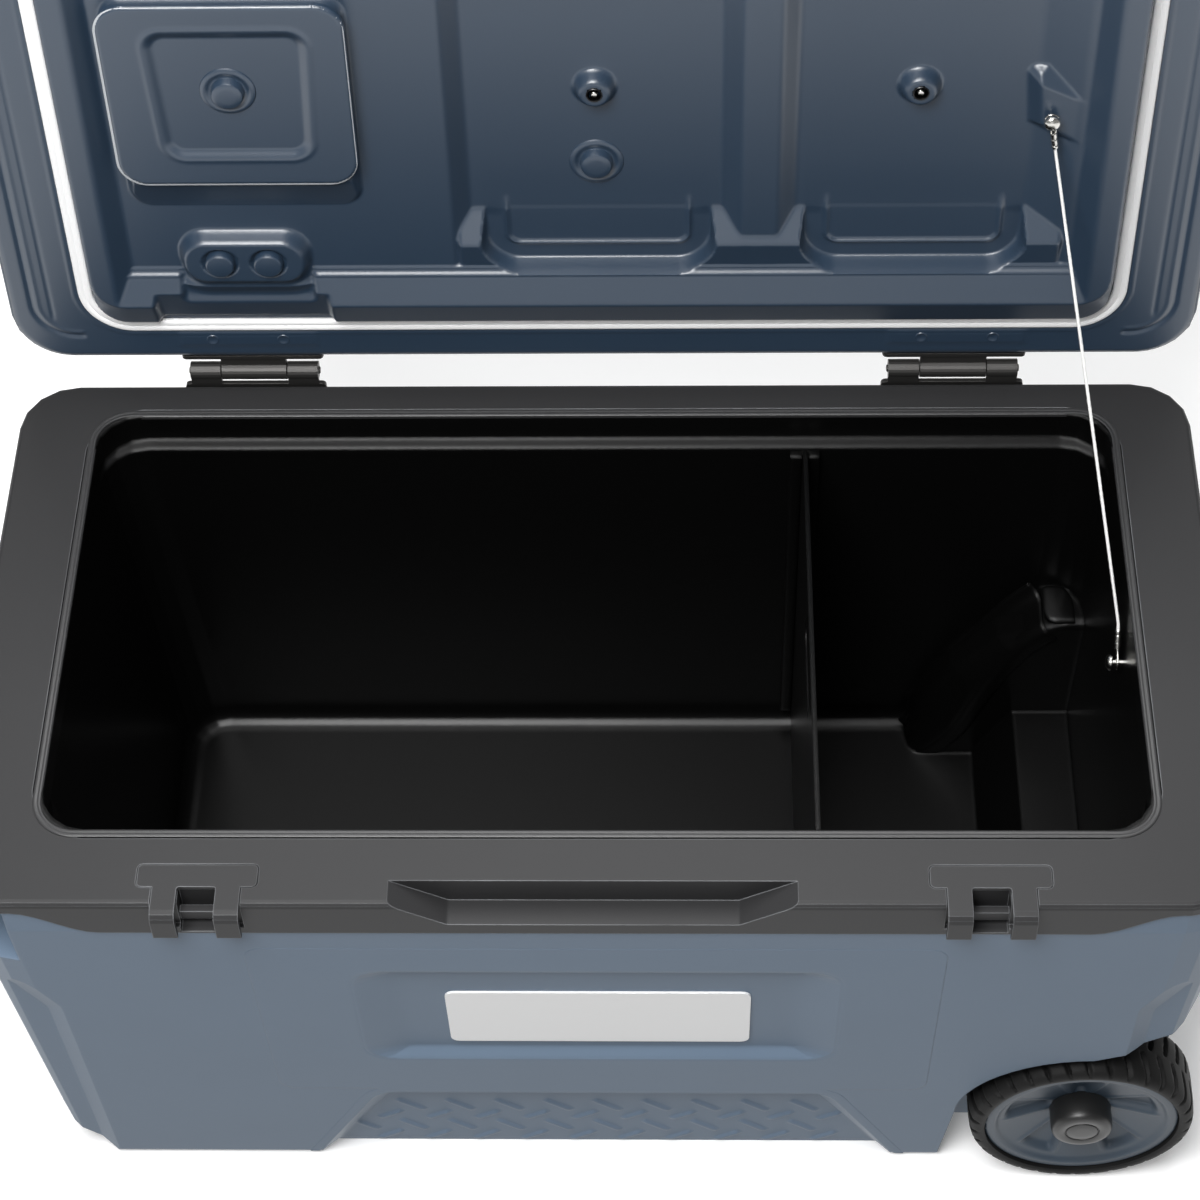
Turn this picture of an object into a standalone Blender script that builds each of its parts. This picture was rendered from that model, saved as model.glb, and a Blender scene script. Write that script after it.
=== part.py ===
"""Wheeled hard cooler box with its lid open.

The box stands on z = 0 with its long side along x. The front is at -y and the wheels are at +x.
Lengths are in metres. The lid is modelled shut and then turned back on its hinge axis.
"""

import math

import bmesh
import bpy
from mathutils import Matrix, Vector

# General clearances and finishes of edges
GAP = 0.0003
OVERRUN = 0.012
WELD_DISTANCE = 0.00002
CORNER_STEPS = 4
FILLET_STEPS = 3
ROUND_STEPS = 20
SMALL_ROUND_STEPS = 12
WHEEL_STEPS = 36
SMOOTH_DEGREES = 35

# Box: overall sizes
BOX_LENGTH = 0.780
BOX_DEPTH = 0.410
RIM_HEIGHT = 0.376
CORNER_RADIUS = 0.037
BASE_CORNER_RADIUS = 0.030
LONG_SIDE_DRAFT = 0.028
END_DRAFT = 0.0155
SHELL_STEP = 0.001
SHELL_WALL = 0.003
FOAM_GAP = 0.001
BASE_FILLET = 0.006
END_CHAMFER_WIDTH = 0.036
END_CHAMFER_HEIGHT = 0.045

# Rim collar
COLLAR_HEIGHT = 0.0315
COLLAR_END_HEIGHT = 0.010
EAR_FOOT_INSET = 0.093
EAR_TOP_INSET = 0.042
EAR_STEPS = 7
COLLAR_TOP_FILLET = 0.004
COLLAR_WALL = 0.005
COLLAR_INNER_WALL = 0.006
RIM_SIDE_WIDTH = 0.0485
RIM_FRONT_WIDTH = 0.0476
RIM_BACK_WIDTH = 0.0234
OPENING_RADIUS = 0.028
SEAM_GROOVE = 0.0006

# Finger notch in the middle of the collar's front
NOTCH_TOP_HALF_WIDTH = 0.1215
NOTCH_BOTTOM_HALF_WIDTH = 0.087
NOTCH_DEPTH = 0.0175
NOTCH_HEIGHT = 0.0213
NOTCH_CORNER = 0.004

# Liner
LIP_WIDTH = 0.0052
LIP_HEIGHT = 0.011
LIP_RISE = 0.0006
LINER_WALL = 0.003
LEDGE_DROP = 0.0225
LEDGE_WIDTH = 0.008
LEDGE_SLOPE = 0.002
FLOOR_HEIGHT = 0.057
FLOOR_FILLET = 0.012
FLOOR_LEFT_INSET = 0.022
FLOOR_RIGHT_INSET = 0.006
FLOOR_LONG_INSET = 0.022
FLOOR_RADIUS = 0.030

# Wheel bumps and axle riser in the liner
BUMP_FOOT_BEFORE_AXLE = 0.098
BUMP_KNEE_BEFORE_AXLE = 0.072
BUMP_WAIST_BEFORE_AXLE = 0.056
BUMP_SHOULDER_BEFORE_AXLE = 0.036
BUMP_CREST_BEFORE_AXLE = 0.014
BUMP_KNEE_HEIGHT = 0.090
BUMP_WAIST_HEIGHT = 0.140
BUMP_SHOULDER_HEIGHT = 0.182
BUMP_CREST_HEIGHT = 0.208
BUMP_TOP_HEIGHT = 0.214
BUMP_WIDTH = 0.020
BUMP_SPREADS = (0.004, 0.004, 0.024, 0.018, 0.008, 0, 0, 0)
BUMP_EDGE = 0.006
RISER_FOOT_BEFORE_AXLE = 0.053
RISER_TOP_BEFORE_AXLE = 0.028
RISER_HEIGHT = 0.110

# Wheels, axle and the arches round them
WHEEL_RADIUS = 0.075
WHEEL_INSET = 0.070
WHEEL_FACE_INSET = 0.012
TYRE_WIDTH = 0.045
HUB_RADIUS = 0.0642
HUB_WALL = 0.004
HUB_FACE_INSET = 0.003
HUB_DISH_DEPTH = 0.014
HUB_BOSS_RADIUS = 0.019
HUB_RIM_WIDTH = 0.008
HUB_RIB_COUNT = 6
HUB_RIB_WIDTH = 0.003
TREAD_DEPTH = 0.004
TREAD_COUNT = 20
TREAD_GAP_SHARE = 0.30
TREAD_BAND_SHARE = 0.10
CAP_RADIUS = 0.0205
CAP_PROUD = 0.004
CAP_WALL = 0.0025
CAP_RING_RADIUS = 0.011
CAP_RING_DEPTH = 0.001
CAP_FOOT = 0.003
AXLE_RADIUS = 0.006
AXLE_END_PROUD = 0.003
ARCH_CLEARANCE = 0.0095
ARCH_SIDE_CLEARANCE = 0.005
ARCH_FOOT_FLARE = 0.008
ARCH_STEP_OUT = 0.025
ARCH_STEP_UP = 0.012
ARCH_END_OUT = 0.048
ARCH_END_UP = 0.115
ARCH_TAIL_OUT = 0.066
ARCH_TAIL_UP = 0.150
ARCH_STEPS = 12
UNDERSIDE_HEIGHT = 0.053
UNDERSIDE_BEFORE_AXLE = 0.038

# Flutes at the four corners
FLUTE_INNER_INSET = 0.052
FLUTE_SLOPE_WIDTH = 0.012
FLUTE_DEPTH = 0.006
FLUTE_DROP = 0.0605
FLUTE_SHOULDER = 0.046
FLUTE_RADIUS = 0.020

# Sunk panels on the front
LABEL_PANEL_HALF_WIDTH = 0.152
LABEL_PANEL_PLACE_SHARE = 0.653
LABEL_PANEL_HEIGHT = 0.129
LABEL_PANEL_DEPTH = 0.006
LABEL_PANEL_END_SLOPE = 0.028
LABEL_PANEL_SLOPE = 0.005
LABEL_PANEL_RADIUS = 0.018
TREAD_PANEL_TOP = 0.106
TREAD_PANEL_TOP_HALF_WIDTH = 0.150
TREAD_PANEL_BASE_HALF_WIDTH = 0.200
TREAD_PANEL_DEPTH = 0.011
TREAD_PANEL_SLOPE = 0.012
TREAD_PANEL_RADIUS = 0.020

# Grips at the two ends
GRIP_DROP = 0.072
LEFT_GRIP_DEPTH = 0.0375
RIGHT_GRIP_DEPTH = 0.030
RIGHT_GRIP_HALF_WIDTH = 0.105
RIGHT_GRIP_RADIUS = 0.015

# Label plate
PLATE_LENGTH = 0.192
PLATE_HEIGHT = 0.072
PLATE_DROP = 0.0095
PLATE_RADIUS = 0.006
PLATE_THICKNESS = 0.0016

# Latch keepers on the collar
KEEPER_INSET = 0.1545
KEEPER_BAR_LENGTH = 0.072
KEEPER_BAR_WIDTH = 0.0155
KEEPER_BAR_INSET = 0.013
KEEPER_LEG_OUTER = 0.0264
KEEPER_LEG_INNER = 0.0116
KEEPER_THICKNESS = 0.003
KEEPER_LEG_PROUD = 0.009
KEEPER_LEG_DROP = 0.023
KEEPER_CURL_RADIUS = 0.006
KEEPER_EDGE_RADIUS = 0.003
KEEPER_SEAT_CLEARANCE = 0.0005
LEG_SLOT_DEPTH = 0.0035
LEG_SLOT_DROP = 0.025
POCKET_DEPTH = 0.015
POCKET_DROP = 0.0295
CATCH_TOP_DROP = 0.016
CATCH_FOOT_DROP = 0.024
CATCH_FRONT_INSET = 0.002
CATCH_THICKNESS = 0.005
CHANNEL_INSET = 0.008
COLLAR_OUTER_RUN = 0.012

# Hinges
HINGE_INSET = 0.1558
HINGE_LENGTH = 0.086
HINGE_KNUCKLE_LENGTH = 0.0205
HINGE_KNUCKLE_RADIUS = 0.0062
HINGE_PIN_RADIUS = 0.0025
HINGE_AXIS_BEHIND = 0.0057
HINGE_AXIS_ABOVE = 0.008
HINGE_LEAF_WIDTH = 0.095
HINGE_LEAF_HEIGHT = 0.030
HINGE_LEAF_THICKNESS = 0.003
LID_LEAF_HEIGHT = 0.026
LID_OPEN_DEGREES = 94.42

# Lid
LID_BACK_INSET = 0.0105
LID_LIFT = 0.004
LID_HEIGHT = 0.056
LID_DRAFT = 0.004
LID_TOP_FILLET = 0.010
LID_EDGE_FILLET = 0.003
LID_WALL = 0.003
LID_TOP_PANEL_INSET = 0.055
LID_TOP_PANEL_DEPTH = 0.003
LID_TOP_PANEL_SLOPE = 0.006
LID_RECESS_WIDTH = 0.064
LID_RECESS_DEPTH = 0.014
GASKET_SIDE_INSET = 0.048
GASKET_BACK_INSET = 0.0365
GASKET_WIDTH = 0.0095
GASKET_THICKNESS = 0.003
GASKET_RADIUS = 0.034
GASKET_FRONT_INSET = 0.047
PLUG_INSET = 0.0105
PLUG_CREST_DROP = 0.0185
PLUG_WALL_RUN = 0.004
PLUG_WALL_DROP = 0.009
PLUG_CHAMFER_RUN = 0.016
PLUG_CREST_WIDTH = 0.0025
PLUG_SIDE_RUN = 0.009
LINER_FLANGE = 0.0062
CREST_NOTCH_SPARE = 0.020
DISH_RAMP_RUN = 0.024
DISH_DROP = 0.008
DISH_WALL_RUN = 0.0095
LINER_SHEET = 0.003
WELL_LIFT = 0.010
WELL_SLOPE = 0.009
WELL_FRONT_INSET = 0.095
WELL_BACK_INSET = 0.110
WELL_RADIUS = 0.022
MID_WELL_SHARES = (-0.205, 0.223)
RIGHT_WELL_SHARES = (0.358, 0.713)
COMPARTMENT_SHARES = (-0.758, -0.376)
COMPARTMENT_DEPTH_SHARES = (0.010, 0.671)
COMPARTMENT_RADIUS = 0.018
COMPARTMENT_PROUD = 0.008
COMPARTMENT_SLOPE = 0.006
PANEL_THICKNESS = 0.003
PANEL_RECESS_INSET = 0.028
PANEL_RECESS_DEPTH = 0.0016
PANEL_PLUG_FORWARD = 0.0038
LONG_BOSS_PLACE_SHARE = -0.581
LONG_BOSS_INSET = 0.1095
LONG_BOSS_LENGTH = 0.078
LONG_BOSS_WIDTH = 0.033
LONG_BOSS_SLOPE = 0.007
LONG_BOSS_PROUD = 0.010
LONG_BOSS_PEG_SPACING = 0.031
PEG_RADIUS = 0.0085
PEG_PROUD = 0.004
PEG_WELL_RADIUS = 0.0112
PEG_WELL_DEPTH = 0.005
FOAM_PLUG_RADIUS = 0.0150
FOAM_PLUG_FLANGE = 0.0015
FOAM_PLUG_KNOB_RADIUS = 0.0088
FOAM_PLUG_KNOB_HEIGHT = 0.005
FOAM_PLUG_STEM_RADIUS = 0.012
FOAM_PLUG_STEM = 0.003
MID_PLUG_PLACE_SHARE = 0.322
INSERT_PLACE_SHARE = 0.610
RIGHT_INSERT_SHARE = 0.509
INSERT_BOSS_RADIUS = 0.0130
INSERT_BOSS_TOP_RADIUS = 0.0095
INSERT_BOSS_HEIGHT = 0.009
INSERT_RADIUS = 0.0048
INSERT_WALL = 0.0016
INSERT_PROUD = 0.002
BRACKET_LEFT_WIDTH = 0.0165
BRACKET_RIGHT_WIDTH = 0.030
BRACKET_FRONT_WIDTH = 0.0402
BRACKET_BACK_WIDTH = 0.0338

# Latches on the lid
LATCH_WIDTH = 0.060
LATCH_THICKNESS = 0.008
LATCH_DROP = 0.036
LATCH_PIVOT_RISE = 0.022
LATCH_PIVOT_BEHIND_FACE = 0.006
LATCH_BARREL_RADIUS = 0.0055
LATCH_PIN_RADIUS = 0.0022
LATCH_CLEARANCE = 0.001
LATCH_NOSE_DROP = 0.0245
LATCH_NOSE_THICKNESS = 0.004
LATCH_NOSE_TIP_INSET = 0.006
LATCH_TAB_LENGTH = 0.010

# Divider board and its guides
DIVIDER_INSET = 0.2545
DIVIDER_THICKNESS = 0.0032
DIVIDER_DROP = 0.019
DIVIDER_BASE_CLEARANCE = 0.002
DIVIDER_CORNER = 0.006
DIVIDER_SLOT_LENGTH = 0.075
DIVIDER_SLOT_HEIGHT = 0.022
DIVIDER_SLOT_DOWN = 0.030
GUIDE_WIDTH = 0.020
GUIDE_DEPTH = 0.007
GUIDE_SLOT_CLEARANCE = 0.0005
GUIDE_SLOT_DEPTH = 0.005
GUIDE_BASE = 0.075
GUIDE_DROP = 0.0255
GUIDE_EDGE = 0.0012

# Drain at the left end
DRAIN_HEIGHT = 0.0705
DRAIN_BORE_RADIUS = 0.0090
DRAIN_TUBE_RADIUS = 0.0120
DRAIN_FLANGE_RADIUS = 0.0200
DRAIN_FLANGE_THICKNESS = 0.004
DRAIN_RECESS_RADIUS = 0.026
DRAIN_RECESS_DEPTH = 0.010
DRAIN_PLUG_STEM = 0.020
DRAIN_PLUG_HEAD_RADIUS = 0.0165
DRAIN_PLUG_HEAD_LENGTH = 0.009
DRAIN_PLUG_GRIP_WIDTH = 0.006
DRAIN_SEAL_THICKNESS = 0.0015

# Stay cable between the liner's right wall and the lid
CABLE_RADIUS = 0.0009
CABLE_POINTS = 20
CABLE_BEND_REACH = 0.004
CABLE_LOW_Y = 0.006
CABLE_LOW_DROP = 0.046
CABLE_LOW_STANDOFF = 0.0040
CABLE_TOP_SHARE = 0.7154
CABLE_TOP_DISTANCE = 0.2225
CABLE_TOP_STANDOFF = 0.0030
FERRULE_RADIUS = 0.0021
FERRULE_LENGTH = 0.016
EYE_RADIUS = 0.0046
EYE_WIRE = 0.0011
EYE_STEPS = 6
SCREW_HEAD_RADIUS = 0.0050
SCREW_HEAD_HEIGHT = 0.0024
SCREW_SHANK_RADIUS = 0.0020
SCREW_DEPTH = 0.008

# Sizes that follow from the ones above
HALF_LENGTH = BOX_LENGTH / 2
HALF_DEPTH = BOX_DEPTH / 2
KEEPER_CENTRE = HALF_LENGTH - KEEPER_INSET
HINGE_CENTRE = HALF_LENGTH - HINGE_INSET
DIVIDER_X = HALF_LENGTH - DIVIDER_INSET
SEAM_HEIGHT = RIM_HEIGHT - COLLAR_HEIGHT
EAR_HEIGHT = RIM_HEIGHT - COLLAR_END_HEIGHT
LEDGE_HEIGHT = RIM_HEIGHT - LEDGE_DROP
FLUTE_TOP = SEAM_HEIGHT - FLUTE_DROP
LABEL_PANEL_BOTTOM = SEAM_HEIGHT * LABEL_PANEL_PLACE_SHARE - LABEL_PANEL_HEIGHT / 2
PLATE_CENTRE_HEIGHT = LABEL_PANEL_BOTTOM + LABEL_PANEL_HEIGHT / 2 - PLATE_DROP
GRIP_BOTTOM = RIM_HEIGHT - GRIP_DROP
KEEPER_LEG_BOTTOM = RIM_HEIGHT - KEEPER_LEG_DROP
LEG_SLOT_BOTTOM = RIM_HEIGHT - LEG_SLOT_DROP
POCKET_BOTTOM = RIM_HEIGHT - POCKET_DROP
CATCH_TOP = RIM_HEIGHT - CATCH_TOP_DROP
CATCH_BOTTOM = RIM_HEIGHT - CATCH_FOOT_DROP
DIVIDER_TOP = RIM_HEIGHT - DIVIDER_DROP
GUIDE_TOP = RIM_HEIGHT - GUIDE_DROP
CABLE_LOW_HEIGHT = RIM_HEIGHT - CABLE_LOW_DROP
LATCH_BOTTOM = RIM_HEIGHT - LATCH_DROP
LATCH_NOSE_TOP = RIM_HEIGHT - LATCH_NOSE_DROP
LONG_SLOPE = LONG_SIDE_DRAFT / SEAM_HEIGHT
END_SLOPE = END_DRAFT / SEAM_HEIGHT
WHEEL_X = HALF_LENGTH - WHEEL_INSET
WHEEL_FACE = HALF_DEPTH - WHEEL_FACE_INSET
ARCH_WALL_Y = WHEEL_FACE - TYRE_WIDTH - ARCH_SIDE_CLEARANCE
BUMP_INNER_Y = ARCH_WALL_Y - BUMP_WIDTH
ARCH_RADIUS = WHEEL_RADIUS + ARCH_CLEARANCE
LIP_X = HALF_LENGTH - RIM_SIDE_WIDTH
LIP_FRONT = -(HALF_DEPTH - RIM_FRONT_WIDTH)
LIP_BACK = HALF_DEPTH - RIM_BACK_WIDTH
HINGE_Y = HALF_DEPTH + HINGE_AXIS_BEHIND
HINGE_Z = RIM_HEIGHT + HINGE_AXIS_ABOVE
LID_BOTTOM = RIM_HEIGHT + LID_LIFT
LID_TOP = LID_BOTTOM + LID_HEIGHT
LID_BACK = HALF_DEPTH - LID_BACK_INSET
LID_OPEN = math.radians(LID_OPEN_DEGREES)
GASKET_OUTER_X = HALF_LENGTH - GASKET_SIDE_INSET
GASKET_BACK = HALF_DEPTH - GASKET_BACK_INSET
GASKET_FRONT = -(HALF_DEPTH - GASKET_FRONT_INSET)
PLUG_X = GASKET_OUTER_X - PLUG_INSET
PLUG_BACK = GASKET_BACK - PLUG_INSET
PLUG_FRONT = GASKET_FRONT + PLUG_INSET
CREST_Z = LID_BOTTOM - PLUG_CREST_DROP
DISH_Z = LID_BOTTOM - DISH_DROP
WELL_Z = DISH_Z + WELL_LIFT
PLUG_CREST_RUN = PLUG_WALL_RUN + PLUG_CHAMFER_RUN
LINER_TOP = WELL_Z + LINER_SHEET
LATCH_Y = -HALF_DEPTH + LATCH_PIVOT_BEHIND_FACE
LATCH_PIVOT_HEIGHT = LID_BOTTOM + LATCH_PIVOT_RISE
LATCH_ROOM = LATCH_PIVOT_BEHIND_FACE + LATCH_THICKNESS + 2 * LATCH_CLEARANCE
WELL_FRONT_Y = -(HALF_DEPTH - WELL_FRONT_INSET)
WELL_BACK_Y = HALF_DEPTH - WELL_BACK_INSET
WELL_LENGTH = WELL_BACK_Y - WELL_FRONT_Y
COMPARTMENT_LEFT = HALF_LENGTH * COMPARTMENT_SHARES[0]
COMPARTMENT_RIGHT = HALF_LENGTH * COMPARTMENT_SHARES[1]
COMPARTMENT_FRONT = WELL_FRONT_Y + WELL_LENGTH * COMPARTMENT_DEPTH_SHARES[0]
COMPARTMENT_BACK = WELL_FRONT_Y + WELL_LENGTH * COMPARTMENT_DEPTH_SHARES[1]
PANEL_PLUG_X = (COMPARTMENT_LEFT + COMPARTMENT_RIGHT) / 2
PANEL_PLUG_Y = (COMPARTMENT_BACK + COMPARTMENT_FRONT) / 2 - PANEL_PLUG_FORWARD
LONG_BOSS_X = HALF_LENGTH * LONG_BOSS_PLACE_SHARE
LONG_BOSS_Y = HALF_DEPTH - LONG_BOSS_INSET
MID_PLUG_Y = WELL_BACK_Y - WELL_LENGTH * MID_PLUG_PLACE_SHARE
INSERT_BOSS_Y = WELL_BACK_Y - WELL_LENGTH * INSERT_PLACE_SHARE
MID_INSERT_X = 0
RIGHT_INSERT_X = HALF_LENGTH * RIGHT_INSERT_SHARE
CABLE_TOP_X = HALF_LENGTH * CABLE_TOP_SHARE
CABLE_TOP_Y = HINGE_Y - CABLE_TOP_DISTANCE


# Collections and materials

def clear_scene():
    """Remove every object that the file opened with."""
    for thing in list(bpy.data.objects):
        bpy.data.objects.remove(thing, do_unlink=True)


def new_collection(name):
    """Make a collection in the scene and return it."""
    collection = bpy.data.collections.new(name)
    bpy.context.scene.collection.children.link(collection)
    return collection


def material(name, colour, roughness, metallic=0):
    """Return a plain material of that colour, made on its first use."""
    found = bpy.data.materials.get(name)
    if found:
        return found
    made = bpy.data.materials.new(name)
    made.use_nodes = True
    shader = made.node_tree.nodes["Principled BSDF"]
    shader.inputs["Base Color"].default_value = (*colour, 1)
    shader.inputs["Roughness"].default_value = roughness
    shader.inputs["Metallic"].default_value = metallic
    made.diffuse_color = (*colour, 1)
    return made


def palette():
    """Return the materials of the cooler by short name."""
    return {
        "shell": material("shell_blue_plastic", (0.155, 0.215, 0.285), 0.45),
        "lid": material("lid_blue_plastic", (0.075, 0.115, 0.165), 0.42),
        "collar": material("collar_charcoal_plastic", (0.075, 0.075, 0.077), 0.5),
        "liner": material("liner_black_plastic", (0.012, 0.012, 0.012), 0.45),
        "foam": material("insulation_foam", (0.80, 0.74, 0.55), 0.9),
        "gasket": material("gasket_white_rubber", (0.85, 0.85, 0.84), 0.6),
        "steel": material("bright_steel", (0.62, 0.62, 0.60), 0.25, 1),
        "hinge": material("hinge_dark_metal", (0.10, 0.10, 0.105), 0.35, 1),
        "tyre": material("tyre_black_rubber", (0.016, 0.016, 0.016), 0.75),
        "hub": material("hub_blue_plastic", (0.115, 0.150, 0.190), 0.45),
        "black": material("black_plastic", (0.022, 0.022, 0.022), 0.4),
        "plate": material("plate_white_enamel", (0.88, 0.88, 0.87), 0.35),
    }


# Meshes

def object_from_mesh(name, mesh):
    """Link a mesh as an object in the scene and return it."""
    thing = bpy.data.objects.new(name, mesh)
    bpy.context.scene.collection.objects.link(thing)
    return thing


def object_from_bmesh(name, form):
    """Turn a bmesh into an object whose faces point out."""
    bmesh.ops.recalc_face_normals(form, faces=form.faces)
    mesh = bpy.data.meshes.new(name)
    form.to_mesh(mesh)
    form.free()
    return object_from_mesh(name, mesh)


def bake(thing):
    """Replace an object's mesh by its evaluated one, with its transform applied."""
    graph = bpy.context.evaluated_depsgraph_get()
    mesh = bpy.data.meshes.new_from_object(thing.evaluated_get(graph))
    mesh.transform(thing.matrix_world)
    old = thing.data
    if thing.type == "CURVE":
        made = object_from_mesh(thing.name + "_mesh", mesh)
        name = thing.name
        bpy.data.objects.remove(thing, do_unlink=True)
        bpy.data.curves.remove(old)
        made.name = name
        weld(made)
        return made
    thing.modifiers.clear()
    thing.data = mesh
    thing.matrix_world = Matrix.Identity(4)
    bpy.data.meshes.remove(old)
    return thing


def weld(thing):
    """Merge points that lie on each other and turn all faces outward."""
    form = bmesh.new()
    form.from_mesh(thing.data)
    bmesh.ops.remove_doubles(form, verts=form.verts, dist=WELD_DISTANCE)
    bmesh.ops.recalc_face_normals(form, faces=form.faces)
    form.to_mesh(thing.data)
    form.free()


def is_closed(thing):
    """Say whether each edge of a mesh joins two faces."""
    form = bmesh.new()
    form.from_mesh(thing.data)
    closed = all(edge.is_manifold for edge in form.edges)
    form.free()
    return closed


def combine(thing, other, operation="DIFFERENCE"):
    """Cut one solid by another, or join them, and drop the second.

    The MANIFOLD solver is used only where the EXACT one leaves the solid open.
    """
    before = thing.data.copy()
    for solver in ("EXACT", "MANIFOLD"):
        thing.data = before.copy()
        modifier = thing.modifiers.new(operation.lower(), "BOOLEAN")
        modifier.operation = operation
        modifier.solver = solver
        modifier.object = other
        bpy.context.view_layer.update()
        bake(thing)
        if is_closed(thing):
            break
    bpy.data.objects.remove(other, do_unlink=True)
    return thing


def bevel(thing, width, segments=FILLET_STEPS, angle_degrees=40):
    """Round the edges of a solid that turn by more than an angle."""
    modifier = thing.modifiers.new("edge", "BEVEL")
    modifier.width = width
    modifier.segments = segments
    modifier.limit_method = "ANGLE"
    modifier.angle_limit = math.radians(angle_degrees)
    modifier.harden_normals = False
    bpy.context.view_layer.update()
    return bake(thing)


def rounded_polygon(corners, radius, steps=CORNER_STEPS):
    """Return the points of a polygon whose corners are rounded by arcs."""
    count = len(corners)
    radii = radius if isinstance(radius, (list, tuple)) else [radius] * count
    points = []
    for index, corner in enumerate(corners):
        here = Vector(corner)
        before = (Vector(corners[index - 1]) - here).normalized()
        after = (Vector(corners[(index + 1) % count]) - here).normalized()
        if radii[index] == 0:
            points.append(tuple(here))
            continue
        half = before.angle(after) / 2
        reach = radii[index] / math.tan(half)
        centre = here + (before + after).normalized() * (radii[index] / math.sin(half))
        start = here + before * reach - centre
        end = here + after * reach - centre
        sweep = math.pi - 2 * half
        turn = math.copysign(sweep, start.x * end.y - start.y * end.x)
        for step in range(steps + 1):
            angle = turn * step / steps
            spoke = Matrix.Rotation(angle, 2) @ start
            points.append(tuple(centre + spoke))
    return points


def rectangle(x_low, x_high, y_low, y_high, radius, steps=CORNER_STEPS):
    """Return the outline of a rectangle with round corners."""
    corners = [(x_low, y_low), (x_high, y_low), (x_high, y_high), (x_low, y_high)]
    return rounded_polygon(corners, radius, steps)


PLANES = {
    "XY": Matrix.Identity(4),
    "XZ": Matrix(((1, 0, 0, 0), (0, 0, -1, 0), (0, 1, 0, 0), (0, 0, 0, 1))),
    "YZ": Matrix(((0, 0, 1, 0), (1, 0, 0, 0), (0, 1, 0, 0), (0, 0, 0, 1))),
}


def slab(name, outline, low, high, plane="XY"):
    """Extrude a flat outline between two heights on the plane's third axis."""
    curve = bpy.data.curves.new(name, "CURVE")
    curve.dimensions = "2D"
    curve.fill_mode = "BOTH"
    curve.extrude = (high - low) / 2
    spline = curve.splines.new("POLY")
    spline.points.add(len(outline) - 1)
    for point, (across, up) in zip(spline.points, outline):
        point.co = (across, up, 0, 1)
    spline.use_cyclic_u = True
    thing = bpy.data.objects.new(name, curve)
    bpy.context.scene.collection.objects.link(thing)
    middle = (low + high) / 2
    side = -middle if plane == "XZ" else middle
    thing.matrix_world = PLANES[plane] @ Matrix.Translation((0, 0, side))
    bpy.context.view_layer.update()
    return bake(thing)


def loft(name, sections, plane="XY"):
    """Skin a solid through outlines of equal point count, each at its own height."""
    form = bmesh.new()
    rings = []
    for outline, height in sections:
        rings.append([form.verts.new((across, up, height)) for across, up in outline])
    for lower, upper in zip(rings, rings[1:]):
        for index in range(len(lower)):
            following = (index + 1) % len(lower)
            form.faces.new((lower[index], lower[following], upper[following], upper[index]))
    form.faces.new(rings[0])
    form.faces.new(rings[-1])
    bmesh.ops.transform(form, matrix=PLANES[plane], verts=form.verts)
    return object_from_bmesh(name, form)


def block(name, low, high):
    """Make a box between two corners."""
    form = bmesh.new()
    bmesh.ops.create_cube(form, size=1)
    size = Vector(high) - Vector(low)
    middle = (Vector(high) + Vector(low)) / 2
    place = Matrix.Translation(middle) @ Matrix.Diagonal((*size, 1))
    bmesh.ops.transform(form, matrix=place, verts=form.verts)
    return object_from_bmesh(name, form)


AXES = {
    "X": Matrix.Rotation(math.pi / 2, 4, "Y"),
    "-X": Matrix.Rotation(-math.pi / 2, 4, "Y"),
    "Y": Matrix.Rotation(-math.pi / 2, 4, "X"),
    "-Y": Matrix.Rotation(math.pi / 2, 4, "X"),
    "Z": Matrix.Identity(4),
    "-Z": Matrix.Rotation(math.pi, 4, "X"),
}


def along(direction):
    """Return the turn that takes the z axis to a direction."""
    if isinstance(direction, str):
        return AXES[direction]
    return Vector((0, 0, 1)).rotation_difference(Vector(direction)).to_matrix().to_4x4()


def cylinder(name, radius, length, base, direction="Z", top_radius=None, steps=ROUND_STEPS):
    """Make a cylinder or cone that starts at a base point and runs along a direction."""
    form = bmesh.new()
    bmesh.ops.create_cone(
        form,
        cap_ends=True,
        segments=steps,
        radius1=radius,
        radius2=radius if top_radius is None else top_radius,
        depth=length,
    )
    lift = Matrix.Translation((0, 0, length / 2))
    place = Matrix.Translation(base) @ along(direction) @ lift
    bmesh.ops.transform(form, matrix=place, verts=form.verts)
    return object_from_bmesh(name, form)


def turned(name, profile, base, direction="Z", steps=ROUND_STEPS):
    """Turn a closed or axis-to-axis profile of radius and height pairs into a solid."""
    mesh = bpy.data.meshes.new(name)
    points = [(radius, 0, height) for radius, height in profile]
    edges = [(index, index + 1) for index in range(len(points) - 1)]
    if profile[0][0] > 0:
        edges.append((len(points) - 1, 0))
    mesh.from_pydata(points, edges, [])
    thing = object_from_mesh(name, mesh)
    modifier = thing.modifiers.new("turn", "SCREW")
    modifier.axis = "Z"
    modifier.steps = steps
    modifier.render_steps = steps
    modifier.use_merge_vertices = True
    modifier.merge_threshold = WELD_DISTANCE
    thing.matrix_world = Matrix.Translation(base) @ along(direction)
    bpy.context.view_layer.update()
    bake(thing)
    weld(thing)
    return thing


def tube(name, points, radius, resolution=2):
    """Sweep a round wire along points and close its ends."""
    curve = bpy.data.curves.new(name, "CURVE")
    curve.dimensions = "3D"
    curve.bevel_depth = radius
    curve.bevel_resolution = resolution
    curve.use_fill_caps = True
    spline = curve.splines.new("POLY")
    spline.points.add(len(points) - 1)
    for point, place in zip(spline.points, points):
        point.co = (*place, 1)
    thing = bpy.data.objects.new(name, curve)
    bpy.context.scene.collection.objects.link(thing)
    bpy.context.view_layer.update()
    return bake(thing)


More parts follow.
